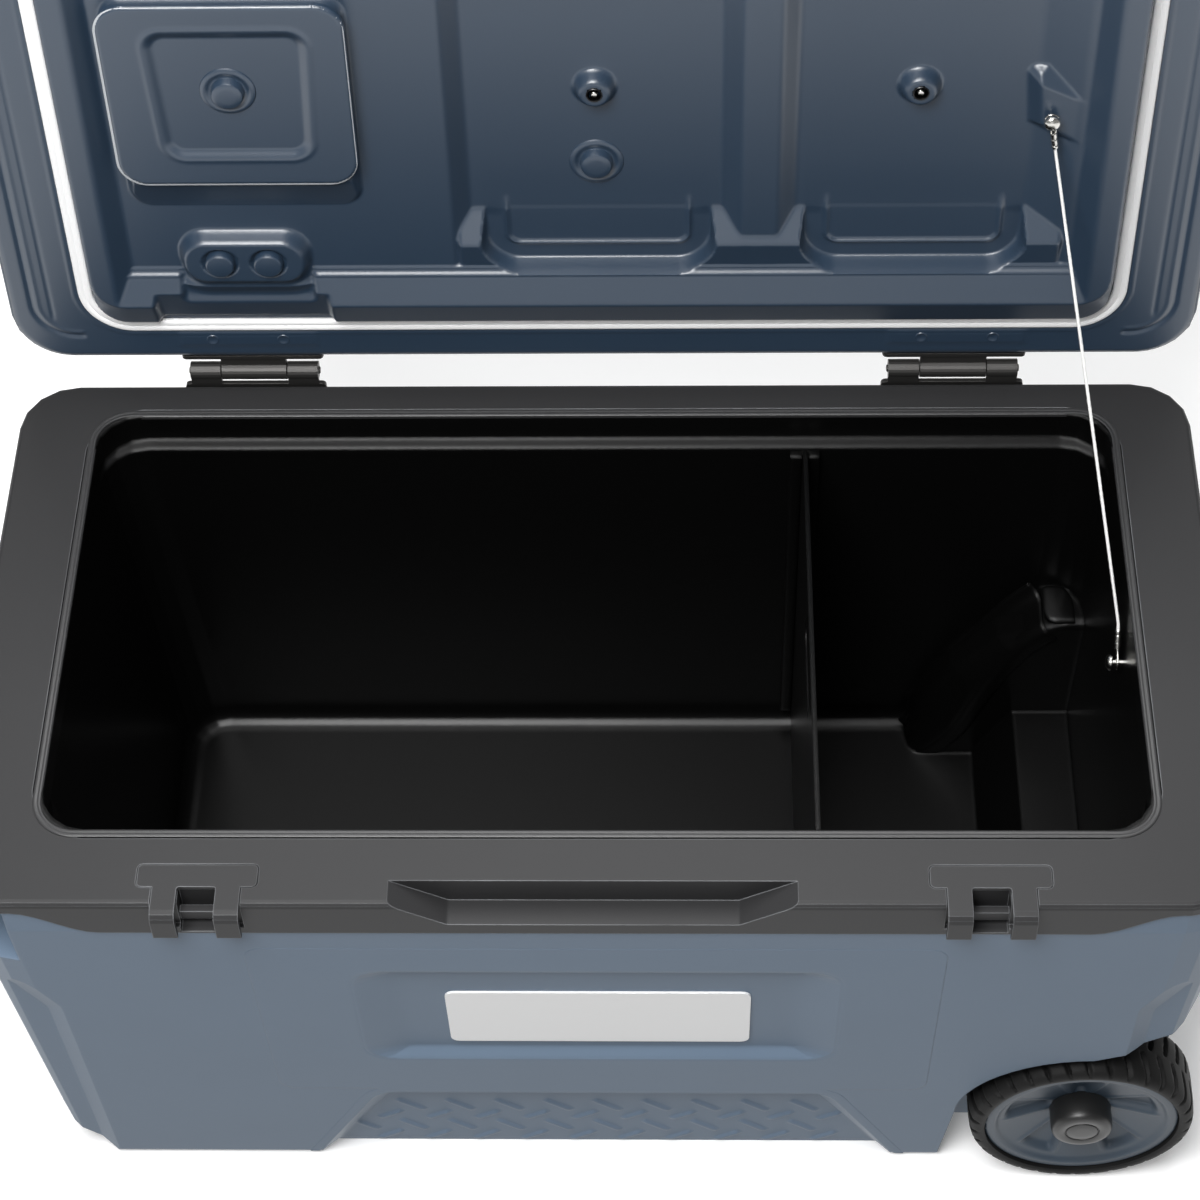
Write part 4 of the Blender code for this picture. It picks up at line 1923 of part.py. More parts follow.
def bend(corner, before, after):
    """Return a short curve round a corner between two directions that leave it."""
    start = corner + before * CABLE_BEND_REACH
    end = corner + after * CABLE_BEND_REACH
    points = []
    for step in range(CORNER_STEPS + 1):
        share = step / CORNER_STEPS
        points.append(start.lerp(corner, share).lerp(corner.lerp(end, share), share))
    return points


def make_cable():
    """Make the stay cable with an eye at each end."""
    low, top = cable_ends()
    cable = tube("stay_cable", cable_line(), CABLE_RADIUS)
    top_axis = lid_turn().to_3x3() @ Vector((0, 0, 1))
    combine(cable, eye_ring("low_eye", low, low_anchor_way()), "UNION")
    combine(cable, eye_ring("top_eye", top, top_axis), "UNION")
    return cable


def make_ferrule(name, at_low):
    """Make the crimped sleeve beside one eye."""
    low, top = cable_ends()
    low_way, top_way = eye_ways()
    reach = EYE_RADIUS + EYE_WIRE + 2 * GAP
    centre = low if at_low else top
    way = low_way if at_low else -top_way
    edge = FERRULE_RADIUS / 5
    profile = [
        (CABLE_RADIUS + GAP, 0),
        (FERRULE_RADIUS - edge, 0),
        (FERRULE_RADIUS, edge),
        (FERRULE_RADIUS, FERRULE_LENGTH - edge),
        (FERRULE_RADIUS - edge, FERRULE_LENGTH),
        (CABLE_RADIUS + GAP, FERRULE_LENGTH),
    ]
    return turned(name, profile, centre + way * reach, way, SMALL_ROUND_STEPS)


# Assembly

def settle(thing, pivot, opened=False):
    """Put an object's origin on its joint axis and turn it with the lid if it rides there."""
    thing.data.transform(Matrix.Translation(-Vector(pivot)))
    place = Matrix.Translation(pivot)
    thing.matrix_world = lid_turn() @ place if opened else place
    return thing


def finish(thing, paint, collection, pivot=(0, 0, 0), opened=False):
    """Give an object its material, smooth faces, origin and collection."""
    thing.data.materials.clear()
    thing.data.materials.append(paint)
    for face in thing.data.polygons:
        face.material_index = 0
    settle(thing, pivot, opened)
    bpy.context.scene.collection.objects.unlink(thing)
    collection.objects.link(thing)
    thing.data.name = thing.name
    with bpy.context.temp_override(object=thing, selected_editable_objects=[thing], active_object=thing):
        bpy.ops.object.shade_smooth_by_angle(angle=math.radians(SMOOTH_DEGREES))
    return thing


def build_box(paints, collection):
    """Build the pieces that stand still."""
    finish(make_outer_shell(), paints["shell"], collection)
    finish(make_foam(), paints["foam"], collection)
    finish(make_liner(), paints["liner"], collection)
    finish(make_collar(), paints["collar"], collection)
    finish(make_label_plate(), paints["plate"], collection)
    finish(make_axle(), paints["steel"], collection)
    finish(make_drain_spout(), paints["black"], collection)
    finish(make_drain_seal(), paints["black"], collection)
    for side, word in ((-1, "left"), (1, "right")):
        finish(make_keeper("keeper_" + word, side * KEEPER_CENTRE), paints["collar"], collection)
        finish(make_body_leaf("hinge_body_leaf_" + word, side * HINGE_CENTRE), paints["hinge"], collection)
        finish(make_hinge_pin("hinge_pin_" + word, side * HINGE_CENTRE), paints["steel"], collection)
    for side, word in ((-1, "front"), (1, "rear")):
        finish(make_guide("divider_guide_" + word, side), paints["liner"], collection)
    screw = make_cable_screw("cable_screw_lower", low_anchor(), low_anchor_way(), CABLE_LOW_STANDOFF)
    finish(screw, paints["steel"], collection)
    finish(make_ferrule("cable_ferrule_lower", True), paints["steel"], collection)
    finish(make_cable(), paints["steel"], collection)


def build_lid(paints, collection):
    """Build the lid and everything that rides on it."""
    pivot = (0, HINGE_Y, HINGE_Z)
    panel_face = DISH_Z - COMPARTMENT_PROUD - GAP - PANEL_THICKNESS + PANEL_RECESS_DEPTH
    pieces = [
        (make_lid_shell(), "lid"),
        (make_lid_foam(), "foam"),
        (make_lid_liner(), "lid"),
        (make_gasket(), "gasket"),
        (make_compartment_panel(), "lid"),
        (make_foam_plug("compartment_plug", PANEL_PLUG_X, PANEL_PLUG_Y, panel_face), "lid"),
        (make_foam_plug("middle_plug", MID_INSERT_X, MID_PLUG_Y, WELL_Z), "lid"),
        (make_peg("small_plug_left", LONG_BOSS_X - LONG_BOSS_PEG_SPACING / 2), "lid"),
        (make_peg("small_plug_right", LONG_BOSS_X + LONG_BOSS_PEG_SPACING / 2), "lid"),
        (make_insert("insert_middle", MID_INSERT_X), "steel"),
        (make_insert("insert_right", RIGHT_INSERT_X), "steel"),
        (make_cable_screw("cable_screw_upper", top_anchor(), Vector((0, 0, 1)), CABLE_TOP_STANDOFF), "steel"),
    ]
    for side, word in ((-1, "left"), (1, "right")):
        pieces.append((make_lid_leaf("hinge_lid_leaf_" + word, side * HINGE_CENTRE), "hinge"))
        pieces.append((make_latch_pin("latch_pin_" + word, side * KEEPER_CENTRE), "steel"))
    for thing, paint in pieces:
        finish(thing, paints[paint], collection, pivot, True)
    for side, word in ((-1, "left"), (1, "right")):
        centre = side * KEEPER_CENTRE
        latch = make_latch("latch_" + word, centre)
        finish(latch, paints["black"], collection, (centre, LATCH_Y, LATCH_PIVOT_HEIGHT), True)
    ferrule = make_ferrule("cable_ferrule_upper", False)
    ferrule.data.transform(lid_turn().inverted())
    finish(ferrule, paints["steel"], collection, pivot, True)


def build_movers(paints, collection):
    """Build the wheels, the divider board and the drain plug."""
    for side, word in ((-1, "front"), (1, "rear")):
        centre = (WHEEL_X, side * (WHEEL_FACE - TYRE_WIDTH / 2), WHEEL_RADIUS)
        finish(make_hub("wheel_hub_" + word, side), paints["hub"], collection, centre)
        finish(make_tyre("wheel_tyre_" + word, side), paints["tyre"], collection, centre)
        finish(make_hub_cap("wheel_cap_" + word, side), paints["black"], collection, centre)
    finish(make_divider(), paints["liner"], collection, (DIVIDER_X, 0, DIVIDER_TOP))
    finish(make_drain_plug(), paints["black"], collection, (drain_face(), 0, DRAIN_HEIGHT))


def main():
    """Build the whole cooler box."""
    clear_scene()
    paints = palette()
    collection = new_collection("cooler_box")
    build_box(paints, collection)
    build_lid(paints, collection)
    build_movers(paints, collection)
    for piece in collection.objects:
        triangles = sum(len(face.vertices) - 2 for face in piece.data.polygons)
        print(piece.name, triangles)


main()
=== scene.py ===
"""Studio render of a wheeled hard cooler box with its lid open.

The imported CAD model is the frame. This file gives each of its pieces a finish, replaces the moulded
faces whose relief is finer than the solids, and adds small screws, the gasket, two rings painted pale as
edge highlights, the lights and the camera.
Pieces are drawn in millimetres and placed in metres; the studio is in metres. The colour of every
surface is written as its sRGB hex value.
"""

import logging
import math
from collections.abc import Callable
from dataclasses import dataclass
from enum import Enum

import bmesh
import bpy
import numpy as np
from mathutils import Matrix, Vector


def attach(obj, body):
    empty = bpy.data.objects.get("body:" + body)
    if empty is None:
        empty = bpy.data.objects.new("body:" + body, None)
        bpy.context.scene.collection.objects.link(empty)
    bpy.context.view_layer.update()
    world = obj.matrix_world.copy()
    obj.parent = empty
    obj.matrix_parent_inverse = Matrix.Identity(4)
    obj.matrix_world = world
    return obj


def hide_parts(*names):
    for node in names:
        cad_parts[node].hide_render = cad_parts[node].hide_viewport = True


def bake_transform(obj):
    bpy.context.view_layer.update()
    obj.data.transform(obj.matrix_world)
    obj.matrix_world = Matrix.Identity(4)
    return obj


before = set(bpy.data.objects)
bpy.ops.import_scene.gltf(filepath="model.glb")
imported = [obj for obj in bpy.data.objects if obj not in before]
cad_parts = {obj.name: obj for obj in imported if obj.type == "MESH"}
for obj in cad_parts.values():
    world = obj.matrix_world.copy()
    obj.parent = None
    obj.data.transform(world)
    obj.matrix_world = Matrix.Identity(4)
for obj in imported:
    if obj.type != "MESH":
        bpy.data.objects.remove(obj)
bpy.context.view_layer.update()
LOG = logging.getLogger("cooler")
Array = np.ndarray

MM = 0.001
# Pale colour painted over edges: partly rubbed wear, partly a painted highlight along each edge
WORN_AND_HIGHLIGHT_COLOUR = "AEB1B5"

# Places that several pieces share, in millimetres; on the lid as along, up and out
BORDER_BOX, BORDER_RADIUS = (-388, 388, 18.2, 413.7), 35
GASKET_BOX, GASKET_RADIUS = (-342.3, 342.3, 41.9, 369), 34.2
INSERTS_ALONG, INSERTS_UP = (0, 198.5), 240.75
PEGS_ALONG, PEGS_UP = (-242.1, -211.1), 115.2
CABLE_TOP = (279.0, 222.5, 11.7)
WHEEL_X, WHEEL_Z = 320, 75
HUB_PLANE, CAP_PLANE = 190, 193


class Body(str, Enum):
    """Names of the rigid bodies that pieces ride on."""

    BOX = "cooler"
    LID = "lid"
    WHEEL_FRONT = "wheel_front"
    WHEEL_REAR = "wheel_rear"


class Grain(Enum):
    """Kinds of surface texture."""

    SMOOTH = "smooth"
    SPARK = "spark"
    BRUSHED = "brushed"


def linear(code: str) -> tuple[float, float, float, float]:
    """Turn an sRGB hex colour into linear RGBA.

    Args:
        code: Six hex digits, with or without a leading hash.

    Returns:
        The linear red, green, blue and an alpha of one.
    """
    text = code.lstrip("#")
    channels = [int(text[index:index + 2], 16) / 255 for index in (0, 2, 4)]
    made = [c / 12.92 if c <= 0.04045 else ((c + 0.055) / 1.055) ** 2.4 for c in channels]
    return (made[0], made[1], made[2], 1.0)


def add_node(tree: bpy.types.NodeTree, kind: str, links: dict | None = None, **values) -> bpy.types.Node:
    """Add a shader node, set its sockets and join its inputs.

    Args:
        tree: The node tree.
        kind: The node's type name.
        links: Input socket, by name or number, to its value or to the output socket that feeds it.
        **values: Attributes of the node.

    Returns:
        The new node.
    """
    node = tree.nodes.new(kind)
    for name, value in values.items():
        setattr(node, name, value)
    for name, source in (links or {}).items():
        if isinstance(source, bpy.types.NodeSocket):
            tree.links.new(source, node.inputs[name])
        else:
            node.inputs[name].default_value = source
    return node


@dataclass(frozen=True)
class Finish:
    """One real material, with its grain at real size."""

    name: str
    colour: str
    roughness: float
    grain: Grain = Grain.SPARK
    grain_mm: float = 0.55
    bump: float = 0.12
    mottle: float = 0.03
    metallic: float = 0.0
    specular: float = 0.5
    edge_mm: float = 0.0
    # How pale the edges are painted: rubbed wear and a painted highlight
    wear_and_highlight: float = 0.0

    def worn_and_highlit(self, tree: bpy.types.NodeTree, normal: bpy.types.NodeSocket, grain: bpy.types.NodeSocket,
             colour: bpy.types.NodeSocket) -> bpy.types.NodeSocket:
        """Paint the colour paler where the surface bends over an edge, as rubbed wear and as a painted
        highlight.

        Args:
            tree: The material's node tree.
            normal: The rounded normal.
            grain: The grain, which breaks the pale line up.
            colour: The colour before the wear and the painted highlight.

        Returns:
            The colour with its rubbed wear and painted highlight.
        """
        flat = add_node(tree, "ShaderNodeNewGeometry").outputs["True Normal"]
        turn = add_node(tree, "ShaderNodeVectorMath", {0: normal, 1: flat}, operation="DOT_PRODUCT")
        mask = add_node(tree, "ShaderNodeMapRange", {"Value": turn.outputs["Value"], "From Min": 0.995,
                                                     "From Max": 0.86, "To Max": self.wear_and_highlight})
        broken = add_node(tree, "ShaderNodeMath", {0: mask.outputs["Result"], 1: grain}, operation="MULTIPLY")
        rubbed_and_highlit = add_node(tree, "ShaderNodeMix",
                          {"Factor": broken.outputs[0], 6: colour, 7: linear(WORN_AND_HIGHLIGHT_COLOUR)}, data_type="RGBA")
        return rubbed_and_highlit.outputs[2]

    def build(self) -> bpy.types.Material:
        """Make the Blender material, or return it if it is already there.

        Returns:
            The material.
        """
        found = bpy.data.materials.get(self.name)
        if found:
            return found
        made = bpy.data.materials.new(self.name)
        made.use_nodes = True
        tree = made.node_tree
        shader = tree.nodes["Principled BSDF"]
        shader.inputs["Metallic"].default_value = self.metallic
        shader.inputs["Specular IOR Level"].default_value = self.specular
        place = add_node(tree, "ShaderNodeTexCoord").outputs["Object"]
        if self.grain is Grain.BRUSHED:
            stretched = add_node(tree, "ShaderNodeMapping", {"Vector": place, "Scale": (1, 40, 40)})
            place = stretched.outputs["Vector"]
        # Cloud of slightly lighter and darker patches, some 60 mm wide
        patches = add_node(tree, "ShaderNodeTexNoise",
                           {"Vector": place, "Scale": 1 / (60 * MM), "Detail": 3.0})
        low = [c * (1 - self.mottle) for c in linear(self.colour)[:3]]
        high = [min(c * (1 + self.mottle), 1) for c in linear(self.colour)[:3]]
        tint = add_node(tree, "ShaderNodeMix",
                        {"Factor": patches.outputs["Fac"], 6: (*low, 1), 7: (*high, 1)}, data_type="RGBA")
        # The grain itself, at its real size in millimetres
        grain = add_node(tree, "ShaderNodeTexNoise",
                         {"Vector": place, "Scale": 1 / (self.grain_mm * MM), "Detail": 2.0,
                          "Roughness": 0.6})
        spread = add_node(tree, "ShaderNodeMapRange", {"Value": grain.outputs["Fac"],
                                                       "To Min": max(self.roughness - 0.05, 0.02),
                                                       "To Max": min(self.roughness + 0.05, 1)})
        tree.links.new(spread.outputs["Result"], shader.inputs["Roughness"])
        colour = tint.outputs[2]
        normal = None
        if self.edge_mm > 0:
            # Moulded edges are rounded over a millimetre or so
            rounded = add_node(tree, "ShaderNodeBevel", {"Radius": self.edge_mm * MM}, samples=6)
            normal = rounded.outputs["Normal"]
            tree.links.new(normal, shader.inputs["Normal"])
            # Pale edges: rubbed wear and a painted highlight
            if self.wear_and_highlight > 0:
                colour = self.worn_and_highlit(tree, normal, patches.outputs["Fac"], colour)
        tree.links.new(colour, shader.inputs["Base Color"])
        if self.bump > 0:
            bump = add_node(tree, "ShaderNodeBump",
                            {"Height": grain.outputs["Fac"], "Strength": self.bump, "Distance": 0.1 * MM})
            if normal:
                tree.links.new(normal, bump.inputs["Normal"])
            tree.links.new(bump.outputs["Normal"], shader.inputs["Normal"])
        return made


# Moulded plastics of the box and the lid, in two blues
SHELL_BLUE = Finish("slate_blue_polyethylene", "68798C", 0.46, bump=0.10, mottle=0.04, specular=0.22,
                    edge_mm=1.6, wear_and_highlight=0.12)
LID_BLUE = Finish("dark_slate_polyethylene", "243547", 0.38, bump=0.08, mottle=0.04, specular=1.0)
LID_OUTER_BLUE = Finish("dark_slate_polyethylene_outer", "243547", 0.42, bump=0.10, mottle=0.04,
                        specular=0.6, edge_mm=1.6, wear_and_highlight=0.2)
HUB_BLUE = Finish("slate_blue_hub_polypropylene", "303C48", 0.45, bump=0.10)
# The collar's strong pale edge lines are mostly a painted highlight, with some rubbed wear
COLLAR_GREY = Finish("charcoal_polypropylene", "2C2C2D", 0.48, grain_mm=0.4, bump=0.10, specular=0.22,
                     edge_mm=1.1, wear_and_highlight=0.75)
LINER_BLACK = Finish("black_polypropylene_liner", "060606", 0.30, bump=0.06, mottle=0.06, specular=0.25,
                     edge_mm=4.5)
# Grey painted on the black liner's rounded lip as its highlight
LIP_HIGHLIGHT_GREY = Finish("grey_painted_liner_lip_highlight", "2C2C2D", 0.42, bump=0.06)
BLACK_PLASTIC = Finish("black_moulded_plastic", "1C1C1C", 0.40, bump=0.08, edge_mm=0.8, wear_and_highlight=0.12)
# Rubber, foam and enamel
TYRE_BLACK = Finish("black_tyre_rubber", "080808", 0.66, grain_mm=0.8, bump=0.16, mottle=0.1, specular=0.25)
# Pale grey ring that paints the highlight along the square panel's rounded edge
PANEL_EDGE_HIGHLIGHT_GREY = Finish("pale_grey_painted_panel_edge_highlight", "B4B8BC", 0.5, Grain.SMOOTH, bump=0.0)
GASKET_WHITE = Finish("white_silicone_gasket", "FEFEFE", 0.55, Grain.SMOOTH, bump=0.0, mottle=0.01)
FOAM = Finish("polyurethane_foam", "D9CBA3", 0.95, grain_mm=1.2, bump=0.3)
PLATE_WHITE = Finish("white_enamelled_plate", "FEFEFE", 0.35, Grain.SMOOTH, bump=0.0, mottle=0.005,
                     edge_mm=0.5)
# Metals
STEEL = Finish("bright_stainless_steel", "C9C8C4", 0.22, Grain.BRUSHED, bump=0.03, metallic=1.0)
CABLE_WIRE = Finish("bright_galvanised_wire", "FAFAF8", 0.32, Grain.BRUSHED, bump=0.05, metallic=0.35)
HINGE_METAL = Finish("satin_dark_anodised_aluminium", "545352", 0.55, Grain.BRUSHED, bump=0.05,
                     metallic=1.0, edge_mm=0.5)
INSERT_METAL = Finish("dark_nickel_insert", "3A3A3B", 0.35, Grain.BRUSHED, bump=0.02, metallic=1.0)

NODE_FINISHES: dict[str, Finish] = {
    "outer_shell": SHELL_BLUE,
    "foam_core": FOAM,
    "lid_foam": FOAM,
    "inner_liner": LINER_BLACK,
    "rim_collar": COLLAR_GREY,
    "label_plate": PLATE_WHITE,
    "lid_shell": LID_OUTER_BLUE,
    "lid_liner": LID_BLUE,
    "lid_gasket": GASKET_WHITE,
    "compartment_panel": LID_BLUE,
    "divider_board": LINER_BLACK,
}
PREFIX_FINISHES: dict[str, Finish] = {
    "keeper": COLLAR_GREY,
    "hinge_pin": HINGE_METAL,
    "hinge": HINGE_METAL,
    "wheel_hub": HUB_BLUE,
    "wheel_tyre": TYRE_BLACK,
    "wheel_cap": BLACK_PLASTIC,
    "latch_pin": STEEL,
    "latch": BLACK_PLASTIC,
    "divider_guide": LINER_BLACK,
    "drain": BLACK_PLASTIC,
    "stay_cable": CABLE_WIRE,
    "cable": STEEL,
    "axle": STEEL,
    "insert": STEEL,
    "compartment_plug": LID_BLUE,
    "middle_plug": LID_BLUE,
    "small_plug": LID_BLUE,
}


def finish_of(node: str) -> Finish:
    """Return the finish of a CAD node.

    Args:
        node: The node's name.

    Returns:
        Its finish, by full name first and then by the start of the name.
    """
    if node in NODE_FINISHES:
        return NODE_FINISHES[node]
    return next(finish for start, finish in PREFIX_FINISHES.items() if node.startswith(start))


def dress(thing: bpy.types.Object, finish: Finish) -> None:
    """Give an object one material in all its slots.

    Args:
        thing: The object.
        finish: Its material.
    """
    if not thing.material_slots:
        thing.data.materials.append(finish.build())
    for material_slot in thing.material_slots:
        material_slot.material = finish.build()


def seat(piece: bpy.types.Object, finish: Finish, body: Body, *replaced: str) -> None:
    """Finish a piece, let it ride on its body and let it stand for CAD nodes.

    Args:
        piece: The piece.
        finish: Its material.
        body: The body it rides on.
        *replaced: The CAD nodes it stands for.
    """
    dress(piece, finish)
    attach(piece, body.value)
    if replaced:
        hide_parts(*replaced)


class Lid:
    """Where the lid's moulded face lies: along (across the lid), up (from the hinge line) and out (proud)."""

    HINGE_Y = 0.2107
    HINGE_Z = 0.384
    OPEN = math.radians(94.42)

    @classmethod
    def place(cls, along: Array, up: Array, out: Array) -> Array:
        """Turn lid coordinates in millimetres into places on the open lid.

        Args:
            along: Distance to the right of the lid's middle.
            up: Distance from the hinge line.
            out: Distance proud of the hinge line's level, towards the box when shut.

        Returns:
            One row of x, y and z in metres for each point.
        """
        turn = -cls.OPEN
        deep = -np.asarray(up) * MM
        high = -np.asarray(out) * MM
        y = cls.HINGE_Y + deep * math.cos(turn) - high * math.sin(turn)
        z = cls.HINGE_Z + deep * math.sin(turn) + high * math.cos(turn)
        return np.stack([np.asarray(along) * MM + 0 * y, y, z], axis=-1)


def lid_frame(along: float, up: float, out: float) -> Matrix:
    """Return a frame on the open lid whose z runs straight out of the moulded face.

    Args:
        along: Distance to the right of the lid's middle, in millimetres.
        up: Distance from the hinge line.
        out: Distance proud of the hinge line's level.

    Returns:
        The frame.
    """
    foot = Lid.place(along, up, out).reshape(3)
    tip = Lid.place(along, up, out + 1).reshape(3)
    return facing(tuple(foot), tuple(tip - foot))


def rounded_distance(x: Array, y: Array, box: tuple, radius: float) -> Array:
    """Return the distance into a rounded rectangle.

    Args:
        x: First coordinates.
        y: Second coordinates.
        box: Low x, high x, low y, high y.
        radius: Corner radius.

    Returns:
        The distance to the outline, positive inside.
    """
    low_x, high_x, low_y, high_y = box
    across = np.abs(x - (low_x + high_x) / 2) - (high_x - low_x) / 2 + radius
    along = np.abs(y - (low_y + high_y) / 2) - (high_y - low_y) / 2 + radius
    outside = np.hypot(np.maximum(across, 0), np.maximum(along, 0))
    return radius - outside - np.minimum(np.maximum(across, along), 0)


def polygon_distance(x: Array, y: Array, corners: list) -> Array:
    """Return the distance into a convex polygon whose corners run anticlockwise.

    Args:
        x: First coordinates.
        y: Second coordinates.
        corners: The corners, as pairs of coordinates.

    Returns:
        The distance to the nearest side, positive inside.
    """
    found = np.full(np.broadcast(x, y).shape, 1e9)
    for (ax, ay), (bx, by) in zip(corners, corners[1:] + corners[:1]):
        length = math.hypot(bx - ax, by - ay)
        found = np.minimum(found, ((bx - ax) * (y - ay) - (by - ay) * (x - ax)) / length)
    return found


def ease(value: Array) -> Array:
    """Return a smooth step of a value from zero to one."""
    held = np.clip(value, 0, 1)
    return held * held * (3 - 2 * held)


def swell(value: Array, middle: float, width: float) -> Array:
    """Return a round rise of height one about a middle."""
    return np.exp(-((value - middle) / width) ** 2)


def soft_max(first: Array, second: Array | float, blend: float) -> Array:
    """Return the higher of two levels, with a fillet of a given size where they meet."""
    share = np.clip(0.5 + 0.5 * (first - second) / blend, 0, 1)
    return second + (first - second) * share + blend * share * (1 - share)


def soft_min(first: Array, second: Array | float, blend: float) -> Array:
    """Return the lower of two levels, with a round edge of a given size where they meet."""
    return -soft_max(-first, -second, blend)


def soft_line(value: Array, knots: list, blend: float) -> Array:
    """Return a bent line through knots with its corners rounded off.

    Args:
        value: Where to read it.
        knots: Pairs of place and level, in rising order of place.
        blend: Half the length over which a corner is rounded.

    Returns:
        The level at each value.
    """
    places = [knot[0] for knot in knots]
    levels = [knot[1] for knot in knots]
    shifts = np.linspace(-blend, blend, 7)
    return sum(np.interp(value + shift, places, levels) for shift in shifts) / len(shifts)


def relaxed(run: Array, times: int) -> Array:
    """Smooth a run of places between its two ends.

    Args:
        run: Rows of coordinates.
        times: How often each place moves towards its neighbours.

    Returns:
        The same run, smoothed.
    """
    for _ in range(times):
        run[1:-1] = 0.25 * run[:-2] + 0.5 * run[1:-1] + 0.25 * run[2:]
    return run


def cells(rows: int, count: int, closed: bool = True) -> list[list[int]]:
    """Join rows of points, each of which is a loop, with four-sided faces.

    Args:
        rows: How many rows there are.
        count: How many points a row has.
        closed: Whether the last row joins the first. If not, a cap closes each end.

    Returns:
        The faces, as lists of point numbers.
    """
    faces = []
    for row in range(rows if closed else rows - 1):
        here, there = row * count, (row + 1) % rows * count
        for step in range(count):
            after = (step + 1) % count
            faces.append([here + step, here + after, there + after, there + step])
    if not closed:
        faces += [list(range(count)), list(range((rows - 1) * count, rows * count))]
    return faces


def solid(name: str, points: Array, faces: list, sharp_degrees: float = 35,
          flat_caps: bool = False) -> bpy.types.Object:
    """Make a closed, smoothly shaded object whose faces point out.

    Args:
        name: The object's name.
        points: Rows of x, y and z in metres.
        faces: Lists of point numbers.
        sharp_degrees: The least angle at which an edge stays sharp.
        flat_caps: Whether faces with more than four sides stay flat.

    Returns:
        The new object, linked to the scene.
    """
    mesh = bpy.data.meshes.new(name)
    mesh.from_pydata(np.asarray(points).tolist(), [], faces)
    mesh.validate()
    form = bmesh.new()
    form.from_mesh(mesh)
    bmesh.ops.recalc_face_normals(form, faces=form.faces)
    for face in form.faces:
        face.smooth = len(face.verts) == 4 or not flat_caps
    form.to_mesh(mesh)
    form.free()
    mesh.set_sharp_from_angle(angle=math.radians(sharp_degrees))
    made = bpy.data.objects.new(name, mesh)
    bpy.context.scene.collection.objects.link(made)
    LOG.info("%s: %d faces", name, len(mesh.polygons))
    return made


def spun(name: str, profile: tuple, place: Matrix, steps: int = 64,
         sharp_degrees: float = 35) -> bpy.types.Object:
    """Spin a closed section round an axis into a solid.

    Args:
        name: The object's name.
        profile: Pairs of radius and height in millimetres, from the axis out and back to the axis.
        place: Where the section's axis stands; the section's height runs along its z.
        steps: How many steps the turn has.
        sharp_degrees: The least angle at which an edge stays sharp.

    Returns:
        The new object.
    """
    points = [(0, 0, profile[0][1]), (0, 0, profile[-1][1])]
    faces = []
    rings = profile[1:-1]
    for radius, height in rings:
        for step in range(steps):
            angle = 2 * math.pi * step / steps
            points.append((radius * math.cos(angle), radius * math.sin(angle), height))
    for row in range(len(rings)):
        for step in range(steps):
            after = (step + 1) % steps
            here, there = 2 + row * steps + step, 2 + row * steps + after
            if row == 0:
                faces.append([0, here, there])
            if row + 1 < len(rings):
                faces.append([here, here + steps, there + steps, there])
            else:
                faces.append([1, there, here])
    scaled = [place @ (Vector(point) * MM) for point in points]
    return solid(name, np.array([tuple(point) for point in scaled]), faces, sharp_degrees)


def facing(point: tuple, way: tuple) -> Matrix:
    """Return a frame at a point in metres whose z runs along a way."""
    turn = Vector(way).normalized().to_track_quat("Z", "Y").to_matrix().to_4x4()
    return Matrix.Translation(point) @ turn


def ring(name: str, box: tuple, radius: float, section: list, place: Callable,
         corner_steps: int = 14) -> bpy.types.Object:
    """Run a closed section round a rounded rectangle.

    Args:
        name: The object's name.
        box: Low x, high x, low y, high y of the outline, in millimetres.
        radius: The outline's corner radius.
        section: Pairs of inset from the outline and height, going round the section.
        place: Function that turns arrays of x, y and height into places in metres.
        corner_steps: How many steps a corner has.

    Returns:
        The new object.
    """
    low_x, high_x, low_y, high_y = box
    corners = ((high_x - radius, high_y - radius, 0), (low_x + radius, high_y - radius, 90),
               (low_x + radius, low_y + radius, 180), (high_x - radius, low_y + radius, 270))
    quarter = np.linspace(0, 90, corner_steps + 1)
    turns = np.radians(np.concatenate([start + quarter for _, _, start in corners]))
    centres = np.repeat(np.array(corners, float)[:, :2], corner_steps + 1, axis=0)
    inset, height = np.array(section, float).T[:, :, None]
    x = centres[:, 0] + (radius - inset) * np.cos(turns)
    y = centres[:, 1] + (radius - inset) * np.sin(turns)
    points = place(x.ravel(), y.ravel(), (height + 0 * x).ravel())
    return solid(name, points, cells(len(section), len(turns)), sharp_degrees=50)


def upright(x: Array, y: Array, z: Array) -> Array:
    """Turn places in millimetres into rows in metres."""
    return np.stack([x, y, z], axis=-1) * MM


